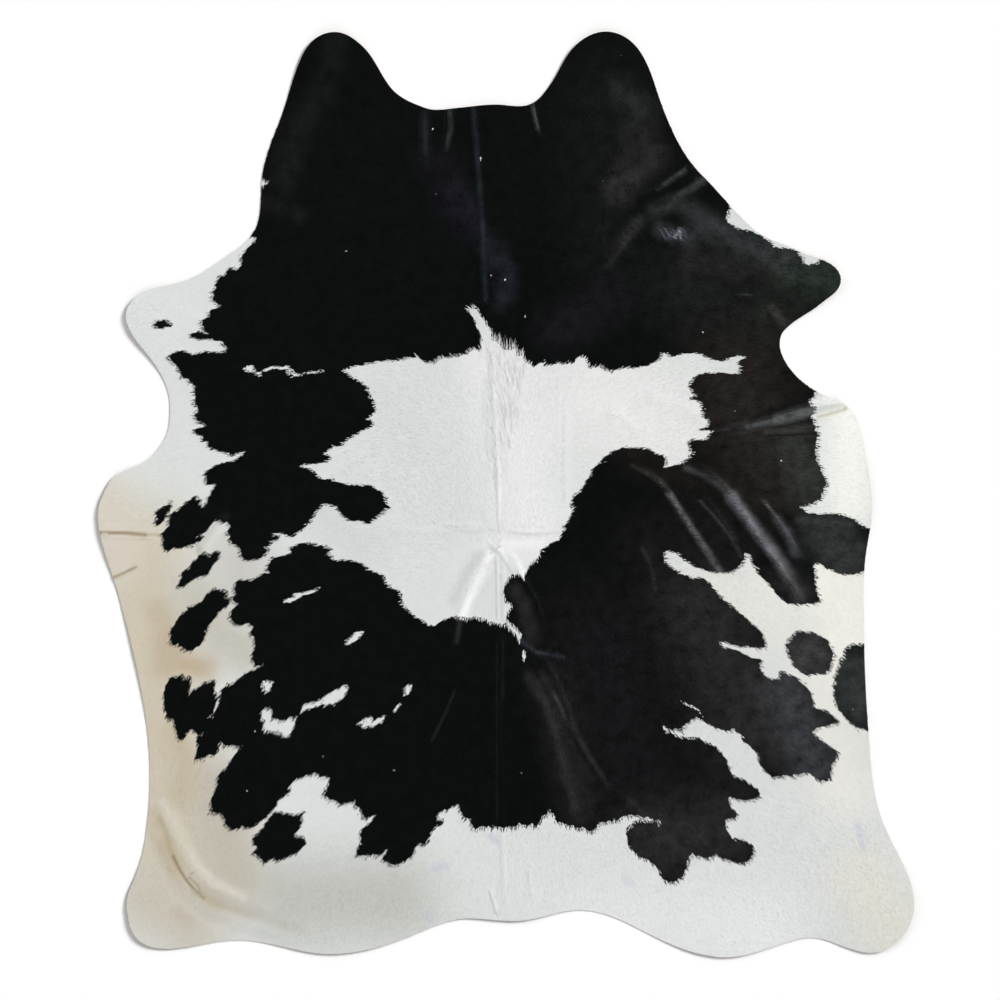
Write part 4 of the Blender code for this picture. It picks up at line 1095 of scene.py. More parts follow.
@dataclass
class Coat:
    """The coat's pattern: where it is black, which way its hair lies, how it is tinted and where highlights
    and shade are painted on it.
    """

    smoothing: float = 0.0015
    lie_softness: float = 0.012
    lie_power: float = 1.5
    lead: float = 0.006
    coarse_lead: float = 1.5
    fleck_reach: float = 0.0021
    fleck_edge: float = 3.0
    fleck_room: float = 0.003
    fleck_margin: float = 2.0
    narrow: float = 2.0
    white: tuple = (0.862, 0.874, 0.866)
    black: tuple = (0.022, 0.032, 0.029)
    border: Border = field(init=False)

    def __post_init__(self) -> None:
        """Works out the patches' outlines once."""
        self.border = Border([smooth_knots(from_board(patch), self.smoothing) for patch in PATCHES])

    def depth(self, places: np.ndarray) -> np.ndarray:
        """How deep in the black each hair shows, which is some way ahead of its root.

        Args:
            places: One row of x and y for each place.

        Returns:
            The distance to the nearest border, which is negative in the white and in the pale tufts.
        """
        reach = self.lead * (1.0 + self.coarse_lead * self.coarseness(places))
        shown = places + reach[:, None] * self.lie(places)
        distance = self.border.nearest(shown)[0]
        signed = np.where(self.border.encloses(shown), distance, -distance)
        return np.minimum(signed, self.fleck_edge * (self.fleck_gap(places) - self.fleck_reach))

    def narrowly_marked(self, places: np.ndarray, size: float) -> np.ndarray:
        """Whether a tint or a band of painted light too narrow for squares of this size runs past each place.

        Args:
            places: One row of x and y for each place.
            size: The side of the squares.

        Returns:
            True near a narrow stain.
        """
        found = np.zeros(len(places), bool)
        for mark in WHITE_TINTS_AND_PAINTED_LIGHT + BLACK_TINTS_AND_PAINTED_LIGHT:
            reach = mark.reach * BOARD_STEP
            if reach < self.narrow * size:
                distance = np.abs(Line(from_board(mark.line)).alongside(places)[0])
                found |= distance < reach + 0.5 * size
        return found

    @staticmethod
    def fleck_gap(places: np.ndarray) -> np.ndarray:
        """How far each place is from the nearest pale tuft."""
        return np.min([np.linalg.norm(places - fleck, axis=1) for fleck in from_board(FLECKS)], axis=0)

    def shortened(self, places: np.ndarray, room: np.ndarray) -> np.ndarray:
        """The room that hair has, which is little in the tufts so that each stays small.

        Args:
            places: One row of x and y for each place.
            room: The room elsewhere.

        Returns:
            The room at each place.
        """
        in_tuft = self.fleck_gap(places) < self.fleck_margin * self.fleck_reach
        return np.where(in_tuft, self.fleck_room, room)

    def lie(self, places: np.ndarray) -> np.ndarray:
        """The direction of the hair.

        Args:
            places: One row of x and y for each place.

        Returns:
            A direction of length 1 for each place.
        """
        middles = np.array([(lie.x_cm, lie.y_cm) for lie in LIES]) * CM
        headings = np.radians([lie.heading_deg for lie in LIES])
        ways = np.stack((np.cos(headings), np.sin(headings)), 1)
        found = []
        for first in range(0, len(places), CHUNK):
            gap = places[first : first + CHUNK, None] - middles
            weight = 1.0 / ((gap**2).sum(2) + self.lie_softness**2) ** self.lie_power
            mean = weight @ ways
            found.append(mean / np.maximum(np.linalg.norm(mean, axis=1), TINY)[:, None])
        return np.concatenate(found)

    def coarseness(self, places: np.ndarray) -> np.ndarray:
        """How much longer and coarser than elsewhere the hair is, from 0 to 1."""
        found = np.zeros(len(places))
        for strands in LONG_HAIR:
            distance = Line(from_board(strands.line)).alongside(places)[0]
            found = np.maximum(found, strands.share * bell(distance, strands.reach * BOARD_STEP))
        return found

    def colour(self, places: np.ndarray, hair: Hair) -> np.ndarray:
        """The colour that one kind of hair has, with the highlights, sheen and shade painted on it.

        Args:
            places: One row of x and y for each place.
            hair: The kind of hair.

        Returns:
            Linear red, green and blue for each place.
        """
        base = self.white if hair is Hair.WHITE else self.black
        colours = np.tile(np.array(linear(base)), (len(places), 1))
        for mark in WHITE_TINTS_AND_PAINTED_LIGHT if hair is Hair.WHITE else BLACK_TINTS_AND_PAINTED_LIGHT:
            distance = Line(from_board(mark.line)).alongside(places)[0]
            share = mark.strength * bell(distance, mark.reach * BOARD_STEP)[:, None]
            colours += share * (np.array(linear(mark.colour)) - colours)
        return colours


class Net:
    """A node tree, and the one way in which its nodes are added."""

    def __init__(self, tree: bpy.types.NodeTree) -> None:
        """Starts from an empty tree."""
        self.tree = tree
        tree.nodes.clear()

    def add(self, kind: str, settings: dict | None = None, sockets: dict | None = None) -> bpy.types.Node:
        """Adds a node.

        Args:
            kind: The node's type.
            settings: What the node is set to, such as an operation, which is set first.
            sockets: The value, link or expression of each input, by its name or its place in the list.

        Returns:
            The new node.
        """
        node = self.tree.nodes.new(kind)
        for name, value in (settings or {}).items():
            setattr(node, name, value)
        for name, value in (sockets or {}).items():
            socket = node.inputs[name]
            if isinstance(value, Number):
                value = value.socket
            if isinstance(value, bpy.types.NodeSocket):
                self.tree.links.new(value, socket)
            else:
                socket.default_value = value
        return node

    def number(
        self, kind: str, output: str | int, settings: dict | None = None, sockets: dict | None = None
    ) -> "Number":
        """Adds a node and returns one of its outputs as a number for expressions.

        Args:
            kind: The node's type.
            output: The output's name or its place in the list.
            settings: What the node is set to.
            sockets: The value, link or expression of each input.

        Returns:
            The output.
        """
        return Number(self, self.add(kind, settings, sockets).outputs[output])


class Number:
    """A number that varies over a surface, for use in expressions."""

    def __init__(self, net: Net, socket: bpy.types.NodeSocket) -> None:
        """Keeps the socket and the net that it is in."""
        self.net = net
        self.socket = socket

    def _math(self, operation: str, *values: Any) -> "Number":
        """The result of a Math node on these values."""
        sockets = dict(enumerate(values))
        return self.net.number("ShaderNodeMath", 0, {"operation": operation}, sockets)

    def __add__(self, other: Any) -> "Number":
        """The sum."""
        return self._math("ADD", self, other)

    def __radd__(self, other: Any) -> "Number":
        """The sum."""
        return self._math("ADD", other, self)

    def __sub__(self, other: Any) -> "Number":
        """The difference."""
        return self._math("SUBTRACT", self, other)

    def __rsub__(self, other: Any) -> "Number":
        """The difference."""
        return self._math("SUBTRACT", other, self)

    def __mul__(self, other: Any) -> "Number":
        """The product."""
        return self._math("MULTIPLY", self, other)

    def __rmul__(self, other: Any) -> "Number":
        """The product."""
        return self._math("MULTIPLY", other, self)

    def __truediv__(self, other: Any) -> "Number":
        """The quotient."""
        return self._math("DIVIDE", self, other)

    def __gt__(self, other: Any) -> "Number":
        """1 where this is more than the other, and else 0."""
        return self._math("GREATER_THAN", self, other)

    def __lt__(self, other: Any) -> "Number":
        """1 where this is less than the other, and else 0."""
        return self._math("LESS_THAN", self, other)

    def least(self, other: Any) -> "Number":
        """The smaller of the two."""
        return self._math("MINIMUM", self, other)

    def ramp(self, low: float, high: float) -> "Number":
        """A smooth rise from 0 at low to 1 at high.

        Args:
            low: Where the rise begins.
            high: Where it ends.

        Returns:
            The risen number.
        """
        sockets = {"Value": self, "From Min": low, "From Max": high}
        return self.net.number("ShaderNodeMapRange", 0, {"interpolation_type": "SMOOTHSTEP"}, sockets)


@dataclass(frozen=True)
class HairFinish:
    """The finish of one kind of hair, which takes its tint from the piece's own colours."""

    hair: Hair
    roughness: float
    gloss: float
    spread: float
    mottle: float
    cloud_scale: float = 32.0
    cloud_detail: float = 6.0

    def material(self) -> bpy.types.Material:
        """Makes the material.

        Returns:
            A material that reads the attributes "tint" and "shade".
        """
        material = bpy.data.materials.new(f"{self.hair.value} hair")
        material.use_nodes = True
        net = Net(material.node_tree)
        shade = net.number("ShaderNodeAttribute", "Fac", {"attribute_name": "shade"})
        coat = self.lustre(net, "tint", (shade - MEAN) * self.spread)
        net.add("ShaderNodeOutputMaterial", None, {"Surface": coat})
        return material

    def lustre(self, net: Net, tint: str, change: Number | float) -> bpy.types.NodeSocket:
        """The mottled colour and the gloss of this hair.

        Args:
            net: The material's net.
            tint: The name of the attribute with the hair's colour.
            change: By how much of itself the colour is lighter, besides the mottle.

        Returns:
            The shader's output.
        """
        colour = net.add("ShaderNodeAttribute", {"attribute_name": tint}).outputs["Color"]
        place = net.add("ShaderNodeTexCoord").outputs["Object"]
        noise = {"Vector": place, "Scale": self.cloud_scale, "Detail": self.cloud_detail}
        cloud = net.number("ShaderNodeTexNoise", 0, None, noise)
        level = 1.0 + change + (cloud - MEAN) * self.mottle
        mottled = net.add("ShaderNodeVectorMath", {"operation": "SCALE"}, {0: colour, "Scale": level})
        sockets = {
            "Base Color": mottled.outputs[0],
            "Roughness": self.roughness,
            "Specular IOR Level": self.gloss,
        }
        return net.add("ShaderNodeBsdfPrincipled", None, sockets).outputs[0]


@dataclass(frozen=True)
class SkinFinish:
    """The hair side of the hide under its locks, black and white like them."""

    black: HairFinish
    white: HairFinish
    border: float = 0.0015
    fray: float = 0.018

    def material(self) -> bpy.types.Material:
        """Makes the material.

        Returns:
            A material that reads the attributes "depth", "black tint" and "white tint".
        """
        material = bpy.data.materials.new("coat under the hair")
        material.use_nodes = True
        net = Net(material.node_tree)
        depth = net.number("ShaderNodeAttribute", "Fac", {"attribute_name": "depth"})
        place = net.add("ShaderNodeTexCoord").outputs["Object"]
        noise = net.number("ShaderNodeTexNoise", 0, None, {"Vector": place, **FRAY_NOISE})
        black = (depth + (noise - MEAN) * self.fray).ramp(-self.border, self.border)
        coats = [finish.lustre(net, f"{finish.hair.value} tint", 0.0) for finish in (self.white, self.black)]
        shader = net.add("ShaderNodeMixShader", None, {"Fac": black, 1: coats[0], 2: coats[1]})
        net.add("ShaderNodeOutputMaterial", None, {"Surface": shader.outputs[0]})
        return material


@dataclass(frozen=True)
class FleshFinish:
    """The suede of the hide's underside and its cut edge, with paler and darker places."""

    light: tuple = (0.74, 0.67, 0.58)
    dark: tuple = (0.63, 0.54, 0.44)
    roughness: float = 0.9
    gloss: float = 0.1
    cloud_scale: float = 7.0
    cloud_detail: float = 5.0
    cloud_range: tuple = (0.3, 0.7)

    def material(self) -> bpy.types.Material:
        """Makes the material.

        Returns:
            A matt, cloudy material.
        """
        material = bpy.data.materials.new("suede underside")
        material.use_nodes = True
        net = Net(material.node_tree)
        place = net.add("ShaderNodeTexCoord").outputs["Object"]
        noise = {"Vector": place, "Scale": self.cloud_scale, "Detail": self.cloud_detail}
        cloud = net.number("ShaderNodeTexNoise", 0, None, noise)
        colour = net.add(
            "ShaderNodeMix",
            {"data_type": "RGBA"},
            {
                "Factor": cloud.ramp(*self.cloud_range),
                6: (*linear(self.dark), 1.0),
                7: (*linear(self.light), 1.0),
            },
        )
        shader = net.add(
            "ShaderNodeBsdfPrincipled",
            None,
            {
                "Base Color": colour.outputs[2],
                "Roughness": self.roughness,
                "Specular IOR Level": self.gloss,
            },
        )
        net.add("ShaderNodeOutputMaterial", None, {"Surface": shader.outputs[0]})
        return material


@dataclass
class Hide:
    """The tanned hide itself: a closed sheet with the coat's colours on its hair side."""

    ground: Ground
    coat: Coat
    thickness: float = 0.0022
    cell: float = 0.020
    grid_shift: float = 0.37
    halvings: int = 3
    least_share: float = 0.6
    bend: float = 0.00020
    border_share: float = 0.6
    overhang: float = 0.0015
    longest_hair: float = 0.050
    flat_width: float = 2.04
    flat_length: float = 2.31
    flat_area: float = 3.58
    under_scale: float = 0.085
    under_middle: tuple = (0.0975, 0.89)

    def build(self, finish: SkinFinish) -> bpy.types.Object:
        """Makes the hide.

        Args:
            finish: The finish of its hair side.

        Returns:
            The hide as a closed mesh with its attributes and its two finishes.
        """
        mesh = bpy.data.meshes.new("cowhide")
        net = self._sheet()
        net.to_mesh(mesh)
        net.free()
        self._lift(mesh)
        self._colour(mesh)
        self._map(mesh)
        mesh.materials.append(finish.material())
        mesh.materials.append(FleshFinish().material())
        hide = bpy.data.objects.new("cowhide", mesh)
        bpy.context.scene.collection.objects.link(hide)
        return hide

    def _sheet(self) -> bmesh.types.BMesh:
        """The hide as a flat closed slab, in squares that are smaller at the folds and the coat's borders.

        Returns:
            The slab, whose top is at 1 and whose bottom at 0, with material 0 on top and 1 elsewhere.
        """
        slab = bmesh.new()
        rim = [slab.verts.new((x, y, 0.0)) for x, y in self.ground.edge.points[::-1] - self.ground.centre]
        slab.faces.new(rim)
        for axis in (0, 1):
            half = max(abs(vert.co[axis]) for vert in slab.verts)
            steps = math.ceil(half / self.cell)
            for step in range(-steps, steps + 1):
                place, normal = Vector(), Vector()
                place[axis], normal[axis] = (step + self.grid_shift) * self.cell, 1.0
                crossed = self._crossed(slab, axis, place[axis])
                bmesh.ops.bisect_plane(slab, geom=crossed, plane_co=place, plane_no=normal)
        raised = bmesh.ops.extrude_face_region(slab, geom=slab.faces[:], use_keep_orig=True)["geom"]
        for vert in (item for item in raised if isinstance(item, bmesh.types.BMVert)):
            vert.co.z = 1.0
        bmesh.ops.recalc_face_normals(slab, faces=slab.faces)
        for face in slab.faces:
            face.material_index = 0 if face.normal.z > LEVEL else 1
            face.smooth = abs(face.normal.z) > LEVEL
        for edge in slab.edges:
            edge.smooth = len({face.smooth for face in edge.link_faces}) == 1
        for halving in range(self.halvings):
            self._refine(slab, self.cell / 2.0**halving)
        bmesh.ops.triangulate(slab, faces=[face for face in slab.faces if len(face.verts) > 4])
        return slab

    def _refine(self, slab: bmesh.types.BMesh, size: float) -> None:
        """Divides the squares of one size that are too coarse for the folds or for the coat's borders.

        Args:
            slab: The slab.
            size: The side of the squares that may be divided.
        """
        faces = [face for face in slab.faces if abs(face.normal.z) > LEVEL]
        middles = np.array([tuple(face.calc_center_median())[:2] for face in faces]) + self.ground.centre
        slab.verts.index_update()
        corners = np.array([tuple(vert.co)[:2] for vert in slab.verts]) + self.ground.centre
        lift = self.ground.relief(corners)
        mean = np.array([lift[[vert.index for vert in face.verts]].mean() for face in faces])
        on_top = np.array([face.material_index == 0 for face in faces])
        fits = np.array([face.calc_area() for face in faces]) > (self.least_share * size) ** 2
        coarse = fits & (np.abs(self.ground.relief(middles) - mean) > self.bend)
        coarse |= on_top & (np.abs(self.coat.depth(middles)) < self.border_share * size)
        coarse |= on_top & (self.coat.fleck_gap(middles) < size)
        coarse |= on_top & self.coat.narrowly_marked(middles, size)
        edges = list({edge for face, chosen in zip(faces, coarse) if chosen for edge in face.edges})
        bmesh.ops.subdivide_edges(slab, edges=edges, cuts=1, use_grid_fill=True)

    @staticmethod
    def _crossed(slab: bmesh.types.BMesh, axis: int, place: float) -> list:
        """The parts of the slab that a cutting plane may cross.

        Args:
            slab: The slab.
            axis: The plane's axis, 0 or 1.
            place: The plane's place on that axis.

        Returns:
            Faces that reach across the plane, with their edges and vertices.
        """
        found: dict = {}
        for face in slab.faces:
            at = [vert.co[axis] for vert in face.verts]
            if min(at) < place < max(at):
                found.update(dict.fromkeys((face, *face.edges, *face.verts)))
        return list(found)

    def _lift(self, mesh: bpy.types.Mesh) -> None:
        """Lifts the slab's sides to the hide's relief.

        Args:
            mesh: The slab, whose top is at 1 and whose bottom at 0.
        """
        places = np.empty(len(mesh.vertices) * 3)
        mesh.vertices.foreach_get("co", places)
        places = places.reshape(-1, 3)
        places[:, 2] = self.ground.relief(places[:, :2] + self.ground.centre) + places[:, 2] * self.thickness
        mesh.vertices.foreach_set("co", places.ravel())
        mesh.update()

    def _colour(self, mesh: bpy.types.Mesh) -> None:
        """Writes the coat's attributes on the hide's vertices.

        Args:
            mesh: The hide's mesh.
        """
        places = np.empty(len(mesh.vertices) * 3)
        mesh.vertices.foreach_get("co", places)
        places = places.reshape(-1, 3)[:, :2] + self.ground.centre
        lie = self.coat.lie(places)
        room = self.ground.room(places, lie, self.overhang, self.longest_hair)
        numbers = {
            "depth": self.coat.depth(places),
            "room": self.coat.shortened(places, room),
            "coarse": self.coat.coarseness(places),
        }
        for name, values in numbers.items():
            mesh.attributes.new(name, "FLOAT", "POINT").data.foreach_set("value", values.astype(np.float32))
        ways = {
            "lie": np.concatenate((lie, np.zeros((len(lie), 1))), 1),
            "upright": self.ground.upright(places),
        }
        for name, values in ways.items():
            layer = mesh.attributes.new(name, "FLOAT_VECTOR", "POINT")
            layer.data.foreach_set("vector", values.ravel().astype(np.float32))
        # The tints hold each hair's colour together with the highlights, sheen and shade painted on it.
        for hair in Hair:
            colours = np.concatenate((self.coat.colour(places, hair), np.ones((len(places), 1))), 1)
            layer = mesh.attributes.new(f"{hair.value} tint", "FLOAT_COLOR", "POINT")
            layer.data.foreach_set("color", colours.ravel().astype(np.float32))

    def _map(self, mesh: bpy.types.Mesh) -> None:
        """Lays the hair side flat on the piece's own map, and the rest of it small in a free corner.

        Args:
            mesh: The hide's mesh.
        """
        corners = np.empty(len(mesh.loops), np.int32)
        mesh.loops.foreach_get("vertex_index", corners)
        sizes = np.empty(len(mesh.polygons), np.int32)
        mesh.polygons.foreach_get("loop_total", sizes)
        finishes = np.empty(len(mesh.polygons), np.int32)
        mesh.polygons.foreach_get("material_index", finishes)
        places = np.empty(len(mesh.vertices) * 3)
        mesh.vertices.foreach_get("co", places)
        flat = places.reshape(-1, 3)[corners, :2]
        on_top = (np.repeat(finishes, sizes) == 0)[:, None]
        top = flat * MAP_SCALE + MAP_MIDDLE
        under = flat * self.under_scale + np.array(self.under_middle)
        layer = mesh.uv_layers.new(name=HAIR_MAP)
        layer.data.foreach_set("uv", np.where(on_top, top, under).ravel().astype(np.float32))

    def declare(self, hide: bpy.types.Object) -> None:
        """Hangs the hide under the root body, and hides the CAD node that it stands for.

        Args:
            hide: The hide.
        """
        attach(hide, "root")
        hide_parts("hide")


@dataclass(frozen=True)
class Region:
    """A part of the coat, from one place along the spine to another, that one piece of hair covers."""

    name: str
    hair: Hair
    rear: float
    fore: float


REGIONS = (
    Region("black_hair_neck", Hair.BLACK, 0.42, 2.0),
    Region("black_hair_back", Hair.BLACK, -0.30, 0.42),
    Region("black_hair_rump", Hair.BLACK, -2.0, -0.30),
    Region("white_hair_back", Hair.WHITE, -0.25, 2.0),
    Region("white_hair_rump", Hair.WHITE, -2.0, -0.25),
)


@dataclass(frozen=True)
class Lock:
    """One flat, pointed lock of hair: a thin closed wedge along X, with corners at shares of its length."""

    length: float
    half_width: float
    root_depth: float
    side_depth: float
    tip_height: float
    yaw: float
    pitch: float
    roll: float
    root: float = -0.15
    widest: float = 0.25
    tip: float = 0.85

    def build(self) -> bpy.types.Object:
        """Makes the lock.

        Returns:
            The lock, which isn't shown itself.
        """
        wedge = bmesh.new()
        bmesh.ops.create_cone(wedge, cap_ends=True, segments=3, radius1=1.0, radius2=0.0, depth=1.0)
        corners = (
            (self.root * self.length, 0.0, -self.root_depth),
            (self.widest * self.length, self.half_width, -self.side_depth),
            (self.widest * self.length, -self.half_width, -self.side_depth),
            (self.tip * self.length, 0.0, self.tip_height),
        )
        base = [vert for vert in wedge.verts if vert.co.z < 0.0]
        tip = [vert for vert in wedge.verts if vert.co.z > 0.0]
        for vert, corner in zip(base + tip, corners):
            vert.co = corner
        bmesh.ops.recalc_face_normals(wedge, faces=wedge.faces)
        mesh = bpy.data.meshes.new("lock")
        wedge.to_mesh(mesh)
        wedge.free()
        return bpy.data.objects.new("lock", mesh)


@dataclass
class HairCoat:
    """The short hair, in flat pointed locks that lie along the coat."""

    spacing: float = 0.0026
    density: float = 125000.0
    fray: float = 0.022
    seed: int = 7
    shape_seed: int = 1
    turn_seed: int = 2
    shade_seed: int = 3
    least_shape: tuple = (0.75, 0.8, 0.7)
    most_shape: tuple = (1.25, 1.25, 1.3)
    coarse_length: float = 1.8
    coarse_width: float = 0.4
    coarse_height: float = 1.5
    coarse_turn: float = 0.1
    black_lock: Lock = Lock(
        length=0.0150,
        half_width=0.0012,
        root_depth=0.0004,
        side_depth=0.00006,
        tip_height=0.0006,
        yaw=9.0,
        pitch=1.5,
        roll=3.0,
    )
    white_lock: Lock = Lock(
        length=0.0145,
        half_width=0.0012,
        root_depth=0.0004,
        side_depth=0.00005,
        tip_height=0.0004,
        yaw=8.0,
        pitch=1.0,
        roll=1.8,
    )
    black_finish: HairFinish = HairFinish(Hair.BLACK, roughness=0.36, gloss=0.17, spread=0.8, mottle=2.0)
    white_finish: HairFinish = HairFinish(Hair.WHITE, roughness=0.6, gloss=0.15, spread=0.05, mottle=0.05)

    def build(self, hide: bpy.types.Object) -> list:
        """Makes every piece of hair.

        Args:
            hide: The hide, with its attributes.

        Returns:
            The pieces.
        """
        locks = {Hair.BLACK: self.black_lock, Hair.WHITE: self.white_lock}
        finishes = {Hair.BLACK: self.black_finish.material(), Hair.WHITE: self.white_finish.material()}
        skin = self._hair_side(hide)
        pieces = []
        for region in REGIONS:
            grower = bpy.data.objects.new("grower", skin)
            bpy.context.scene.collection.objects.link(grower)
            modifier = grower.modifiers.new("hair", "NODES")
            wedge = locks[region.hair].build()
            modifier.node_group = self._grow(region, locks[region.hair], wedge, finishes[region.hair])
            depsgraph = bpy.context.evaluated_depsgraph_get()
            mesh = bpy.data.meshes.new_from_object(
                grower.evaluated_get(depsgraph), preserve_all_data_layers=True, depsgraph=depsgraph
            )
            mesh.name = region.name
            bpy.data.objects.remove(grower)
            bpy.data.objects.remove(wedge)
            bpy.data.node_groups.remove(bpy.data.node_groups[region.name])
            piece = bpy.data.objects.new(region.name, mesh)
            bpy.context.scene.collection.objects.link(piece)
            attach(piece, "root")
            log.info("%s: %d triangles", region.name, len(mesh.polygons))
            pieces.append(piece)
        return pieces

    @staticmethod
    def _hair_side(hide: bpy.types.Object) -> bpy.types.Mesh:
        """A copy of the hide's hair side alone, for the hair to grow from.

        Args:
            hide: The hide.

        Returns:
            The copy.
        """
        side = bmesh.new()
        side.from_mesh(hide.data)
        under = [face for face in side.faces if face.material_index != 0]
        bmesh.ops.delete(side, geom=under, context="FACES")
        mesh = bpy.data.meshes.new("hair side")
        side.to_mesh(mesh)
        side.free()
        return mesh

    def _grow(
        self, region: Region, lock: Lock, wedge: bpy.types.Object, finish: bpy.types.Material
    ) -> bpy.types.NodeTree:
        """The nodes that grow one piece of hair.

        Args:
            region: The part of the coat.
            lock: The sizes of the lock.
            wedge: The lock to repeat.
            finish: The material of the hair.

        Returns:
            A node group for a modifier on the hair side.
        """
        tree = bpy.data.node_groups.new(region.name, "GeometryNodeTree")
        tree.interface.new_socket("Geometry", in_out="INPUT", socket_type="NodeSocketGeometry")
        tree.interface.new_socket("Geometry", in_out="OUTPUT", socket_type="NodeSocketGeometry")
        net = Net(tree)
        skin = net.add("NodeGroupInput").outputs[0]
        roots = net.add(
            "GeometryNodeDistributePointsOnFaces",
            {"distribute_method": "POISSON"},
            {"Mesh": skin, "Distance Min": self.spacing, "Density Max": self.density, "Seed": self.seed},
        )
        place = net.add("GeometryNodeInputPosition").outputs[0]
        along = net.number("ShaderNodeSeparateXYZ", 1, None, {0: place})
        fray = net.number("ShaderNodeTexNoise", 0, None, {"Vector": place, **FRAY_NOISE})
        depth = self._named(net, "depth", "FLOAT")
        black = depth + (fray - MEAN) * self.fray > 0.0
        wanted = black if region.hair is Hair.BLACK else 1.0 - black
        outside = 1.0 - wanted * (along > region.rear) * (along < region.fore)
        kept = net.add(
            "GeometryNodeDeleteGeometry",
            {"domain": "POINT"},
            {"Geometry": roots.outputs["Points"], "Selection": outside},
        )
        coarse = self._named(net, "coarse", "FLOAT")
        room = self._named(net, "room", "FLOAT") / lock.length
        shape = net.add(
            "FunctionNodeRandomValue",
            {"data_type": "FLOAT_VECTOR"},
            {"Min": self.least_shape, "Max": self.most_shape, "Seed": self.shape_seed},
        )
        parts = net.add("ShaderNodeSeparateXYZ", None, {0: shape.outputs[0]})
        length = (Number(net, parts.outputs[0]) * (1.0 + self.coarse_length * coarse)).least(room)
        width = Number(net, parts.outputs[1]) * (1.0 - self.coarse_width * coarse)
        height = Number(net, parts.outputs[2]) * (1.0 + self.coarse_height * coarse)
        scale = net.add("ShaderNodeCombineXYZ", None, {0: length, 1: width, 2: height})
        turns = tuple(math.radians(angle) for angle in (lock.roll, lock.pitch, lock.yaw))
        random_turn = net.add(
            "FunctionNodeRandomValue",
            {"data_type": "FLOAT_VECTOR"},
            {"Min": tuple(-angle for angle in turns), "Max": turns, "Seed": self.turn_seed},
        )
        turn = net.add(
            "ShaderNodeVectorMath",
            {"operation": "SCALE"},
            {0: random_turn.outputs[0], "Scale": 1.0 + self.coarse_turn * coarse},
        )
        laid = net.add(
            "FunctionNodeAxesToRotation",
            {"primary_axis": "Z", "secondary_axis": "X"},
            {
                "Primary Axis": self._named(net, "upright", "FLOAT_VECTOR"),
                "Secondary Axis": self._named(net, "lie", "FLOAT_VECTOR"),
            },
        )
        turned = net.add(
            "FunctionNodeRotateRotation",
            {"rotation_space": "LOCAL"},
            {
                "Rotation": laid.outputs[0],
                "Rotate By": net.add("FunctionNodeEulerToRotation", None, {0: turn.outputs[0]}).outputs[0],
            },
        )
        source = net.add("GeometryNodeObjectInfo", {"transform_space": "ORIGINAL"}, {"Object": wedge})
        locks = net.add(
            "GeometryNodeInstanceOnPoints",
            None,
            {
                "Points": kept.outputs[0],
                "Instance": source.outputs["Geometry"],
                "Rotation": turned.outputs[0],
                "Scale": scale.outputs[0],
            },
        ).outputs[0]
        shade = net.add("FunctionNodeRandomValue", {"data_type": "FLOAT"}, {"Seed": self.shade_seed})
        locks = self._store(net, locks, "shade", "FLOAT", "INSTANCE", shade.outputs[1])
        hair = net.add("GeometryNodeRealizeInstances", None, {0: locks}).outputs[0]
        # The tint, with its painted highlights, sheen and shade, is taken from the skin below each corner of
        # a lock.
        tint = self._named(net, f"{region.hair.value} tint", "FLOAT_COLOR").socket
        below = net.add(
            "GeometryNodeSampleNearestSurface", {"data_type": "FLOAT_COLOR"}, {"Mesh": skin, "Value": tint}
        )
        hair = self._store(net, hair, "tint", "FLOAT_COLOR", "POINT", below.outputs[0])
        for name in ("depth", "room", "coarse", "lie", "upright", "black tint", "white tint"):
            hair = net.add("GeometryNodeRemoveAttribute", None, {"Geometry": hair, "Name": name}).outputs[0]
        on_map = net.add(
            "ShaderNodeVectorMath",
            {"operation": "MULTIPLY_ADD"},
            {0: place, 1: (MAP_SCALE, MAP_SCALE, 0.0), 2: (MAP_MIDDLE, MAP_MIDDLE, 0.0)},
        )
        hair = self._store(net, hair, HAIR_MAP, "FLOAT2", "CORNER", on_map.outputs[0])
        hair = net.add("GeometryNodeSetMaterial", None, {"Geometry": hair, "Material": finish}).outputs[0]
        net.add("NodeGroupOutput", None, {0: hair})
        return tree

    @staticmethod
    def _named(net: Net, name: str, kind: str) -> Number:
        """An attribute of the hair side."""
        return net.number("GeometryNodeInputNamedAttribute", 0, {"data_type": kind}, {"Name": name})

    @staticmethod
    def _store(
        net: Net, geometry: Any, name: str, kind: str, domain: str, value: Any
    ) -> bpy.types.NodeSocket:
        """Writes an attribute.

        Args:
            net: The net that this is in.
            geometry: What the attribute is written on.
            name: The attribute's name.
            kind: Its type of value.
            domain: What has a value each.
            value: The value.

        Returns:
            The geometry with the attribute.
        """
        settings = {"data_type": kind, "domain": domain}
        sockets = {"Geometry": geometry, "Name": name, "Value": value}
        return net.add("GeometryNodeStoreNamedAttribute", settings, sockets).outputs[0]


class Lamp(NamedTuple):
    """A broad, distant lamp. Its angles are in degrees; azimuth 0 is the hide's right and 90 its head end."""

    name: str
    azimuth: float
    elevation: float
    softness: float
    strength: float


LAMPS = (
    Lamp("key", 32.0, 33.0, 22.0, 3.2),
    Lamp("fill, left", 165.0, 30.0, 55.0, 0.88),
    Lamp("fill, head end", 80.0, 30.0, 55.0, 0.74),
    Lamp("fill, rear end", -75.0, 30.0, 55.0, 1.10),
)


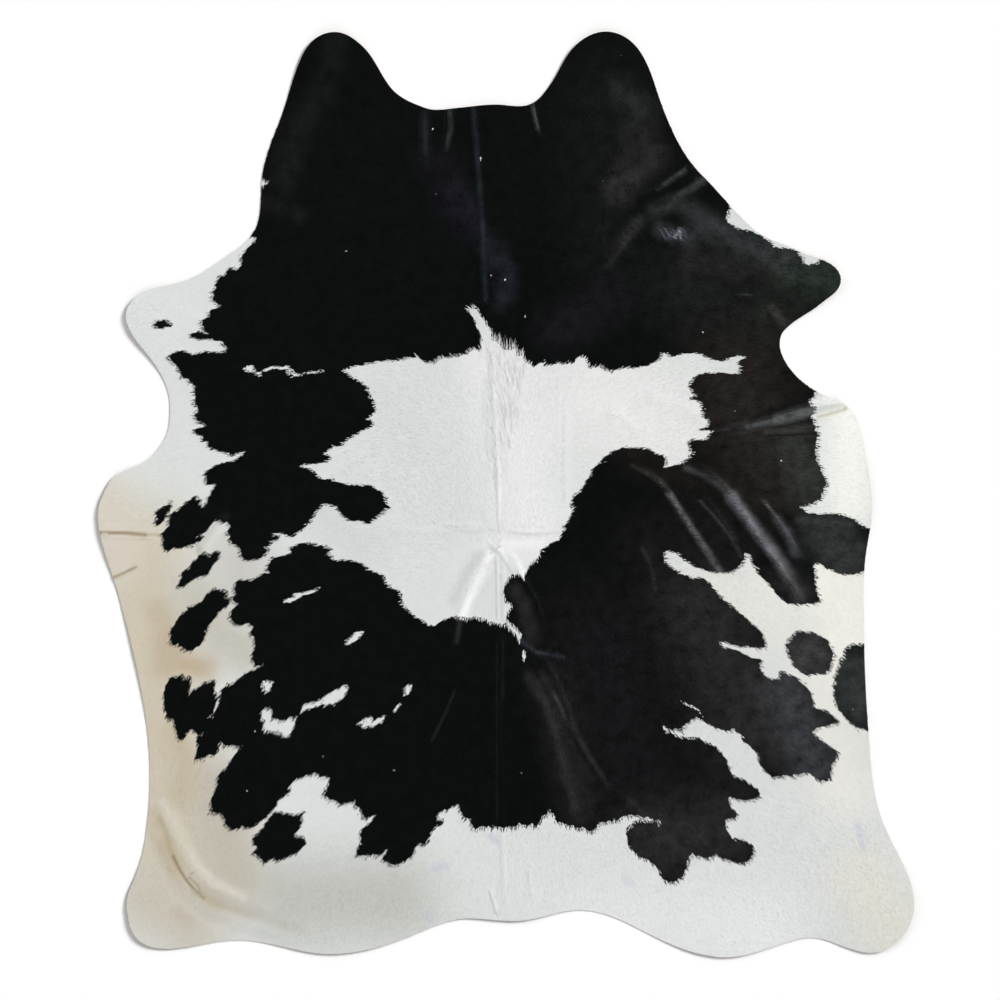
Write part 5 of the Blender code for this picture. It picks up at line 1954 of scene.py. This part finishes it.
@dataclass
class Studio:
    """A pale floor, soft light that comes mostly from the hide's right, and the camera overhead."""

    floor_side: float = 60.0
    paleness: float = 0.98
    sky: float = 0.04
    view_width: float = 2.5
    camera_height: float = 9.0
    farthest: float = 100.0
    sensor_mm: float = 36.0
    middle: tuple = (-0.015, -0.01375)

    def build(self) -> None:
        """Makes the floor, the lights and the camera."""
        self._floor()
        self._lights()
        self._camera()
        bpy.context.scene.view_settings.view_transform = "Standard"

    def _floor(self) -> None:
        """A plain pale floor."""
        net = bmesh.new()
        bmesh.ops.create_grid(net, x_segments=1, y_segments=1, size=0.5 * self.floor_side)
        mesh = bpy.data.meshes.new("floor")
        net.to_mesh(mesh)
        net.free()
        material = bpy.data.materials.new("pale floor")
        material.use_nodes = True
        shader = material.node_tree.nodes["Principled BSDF"]
        shader.inputs["Base Color"].default_value = (self.paleness, self.paleness, self.paleness, 1.0)
        shader.inputs["Roughness"].default_value = 1.0
        shader.inputs["Specular IOR Level"].default_value = 0.0
        mesh.materials.append(material)
        floor = bpy.data.objects.new("floor", mesh)
        bpy.context.scene.collection.objects.link(floor)

    def _lights(self) -> None:
        """A key light low from the right, weaker soft ones round about, and a dim sky."""
        for lamp in LAMPS:
            data = bpy.data.lights.new(lamp.name, "SUN")
            data.angle = math.radians(lamp.softness)
            data.energy = lamp.strength
            light = bpy.data.objects.new(lamp.name, data)
            around, up = math.radians(lamp.azimuth), math.radians(lamp.elevation)
            place = Vector((math.cos(around) * math.cos(up), math.sin(around) * math.cos(up), math.sin(up)))
            light.matrix_world = place.to_track_quat("Z", "Y").to_matrix().to_4x4()
            bpy.context.scene.collection.objects.link(light)
        world = bpy.data.worlds.new("dim sky")
        world.use_nodes = True
        world.node_tree.nodes["Background"].inputs["Color"].default_value = (1.0, 1.0, 1.0, 1.0)
        world.node_tree.nodes["Background"].inputs["Strength"].default_value = self.sky
        bpy.context.scene.world = world

    def _camera(self) -> None:
        """A long lens straight above the hide's middle."""
        data = bpy.data.cameras.new("overhead")
        data.sensor_width = self.sensor_mm
        data.lens = self.sensor_mm * self.camera_height / self.view_width
        data.clip_end = self.farthest
        camera = bpy.data.objects.new("overhead", data)
        camera.location = (*self.middle, self.camera_height)
        bpy.context.scene.collection.objects.link(camera)
        bpy.context.scene.camera = camera


def main() -> None:
    """Builds the hide, its hair and the studio, and reports each piece."""
    logging.basicConfig(level=logging.INFO, format="%(name)s: %(message)s")
    maker = Hide(Ground(), Coat())
    hair = HairCoat()
    hide = maker.build(SkinFinish(hair.black_finish, hair.white_finish))
    log.info("%s: %d faces", hide.name, len(hide.data.polygons))
    coats = hair.build(hide)
    maker.declare(hide)
    Studio().build()


if __name__ == "__main__":
    main()
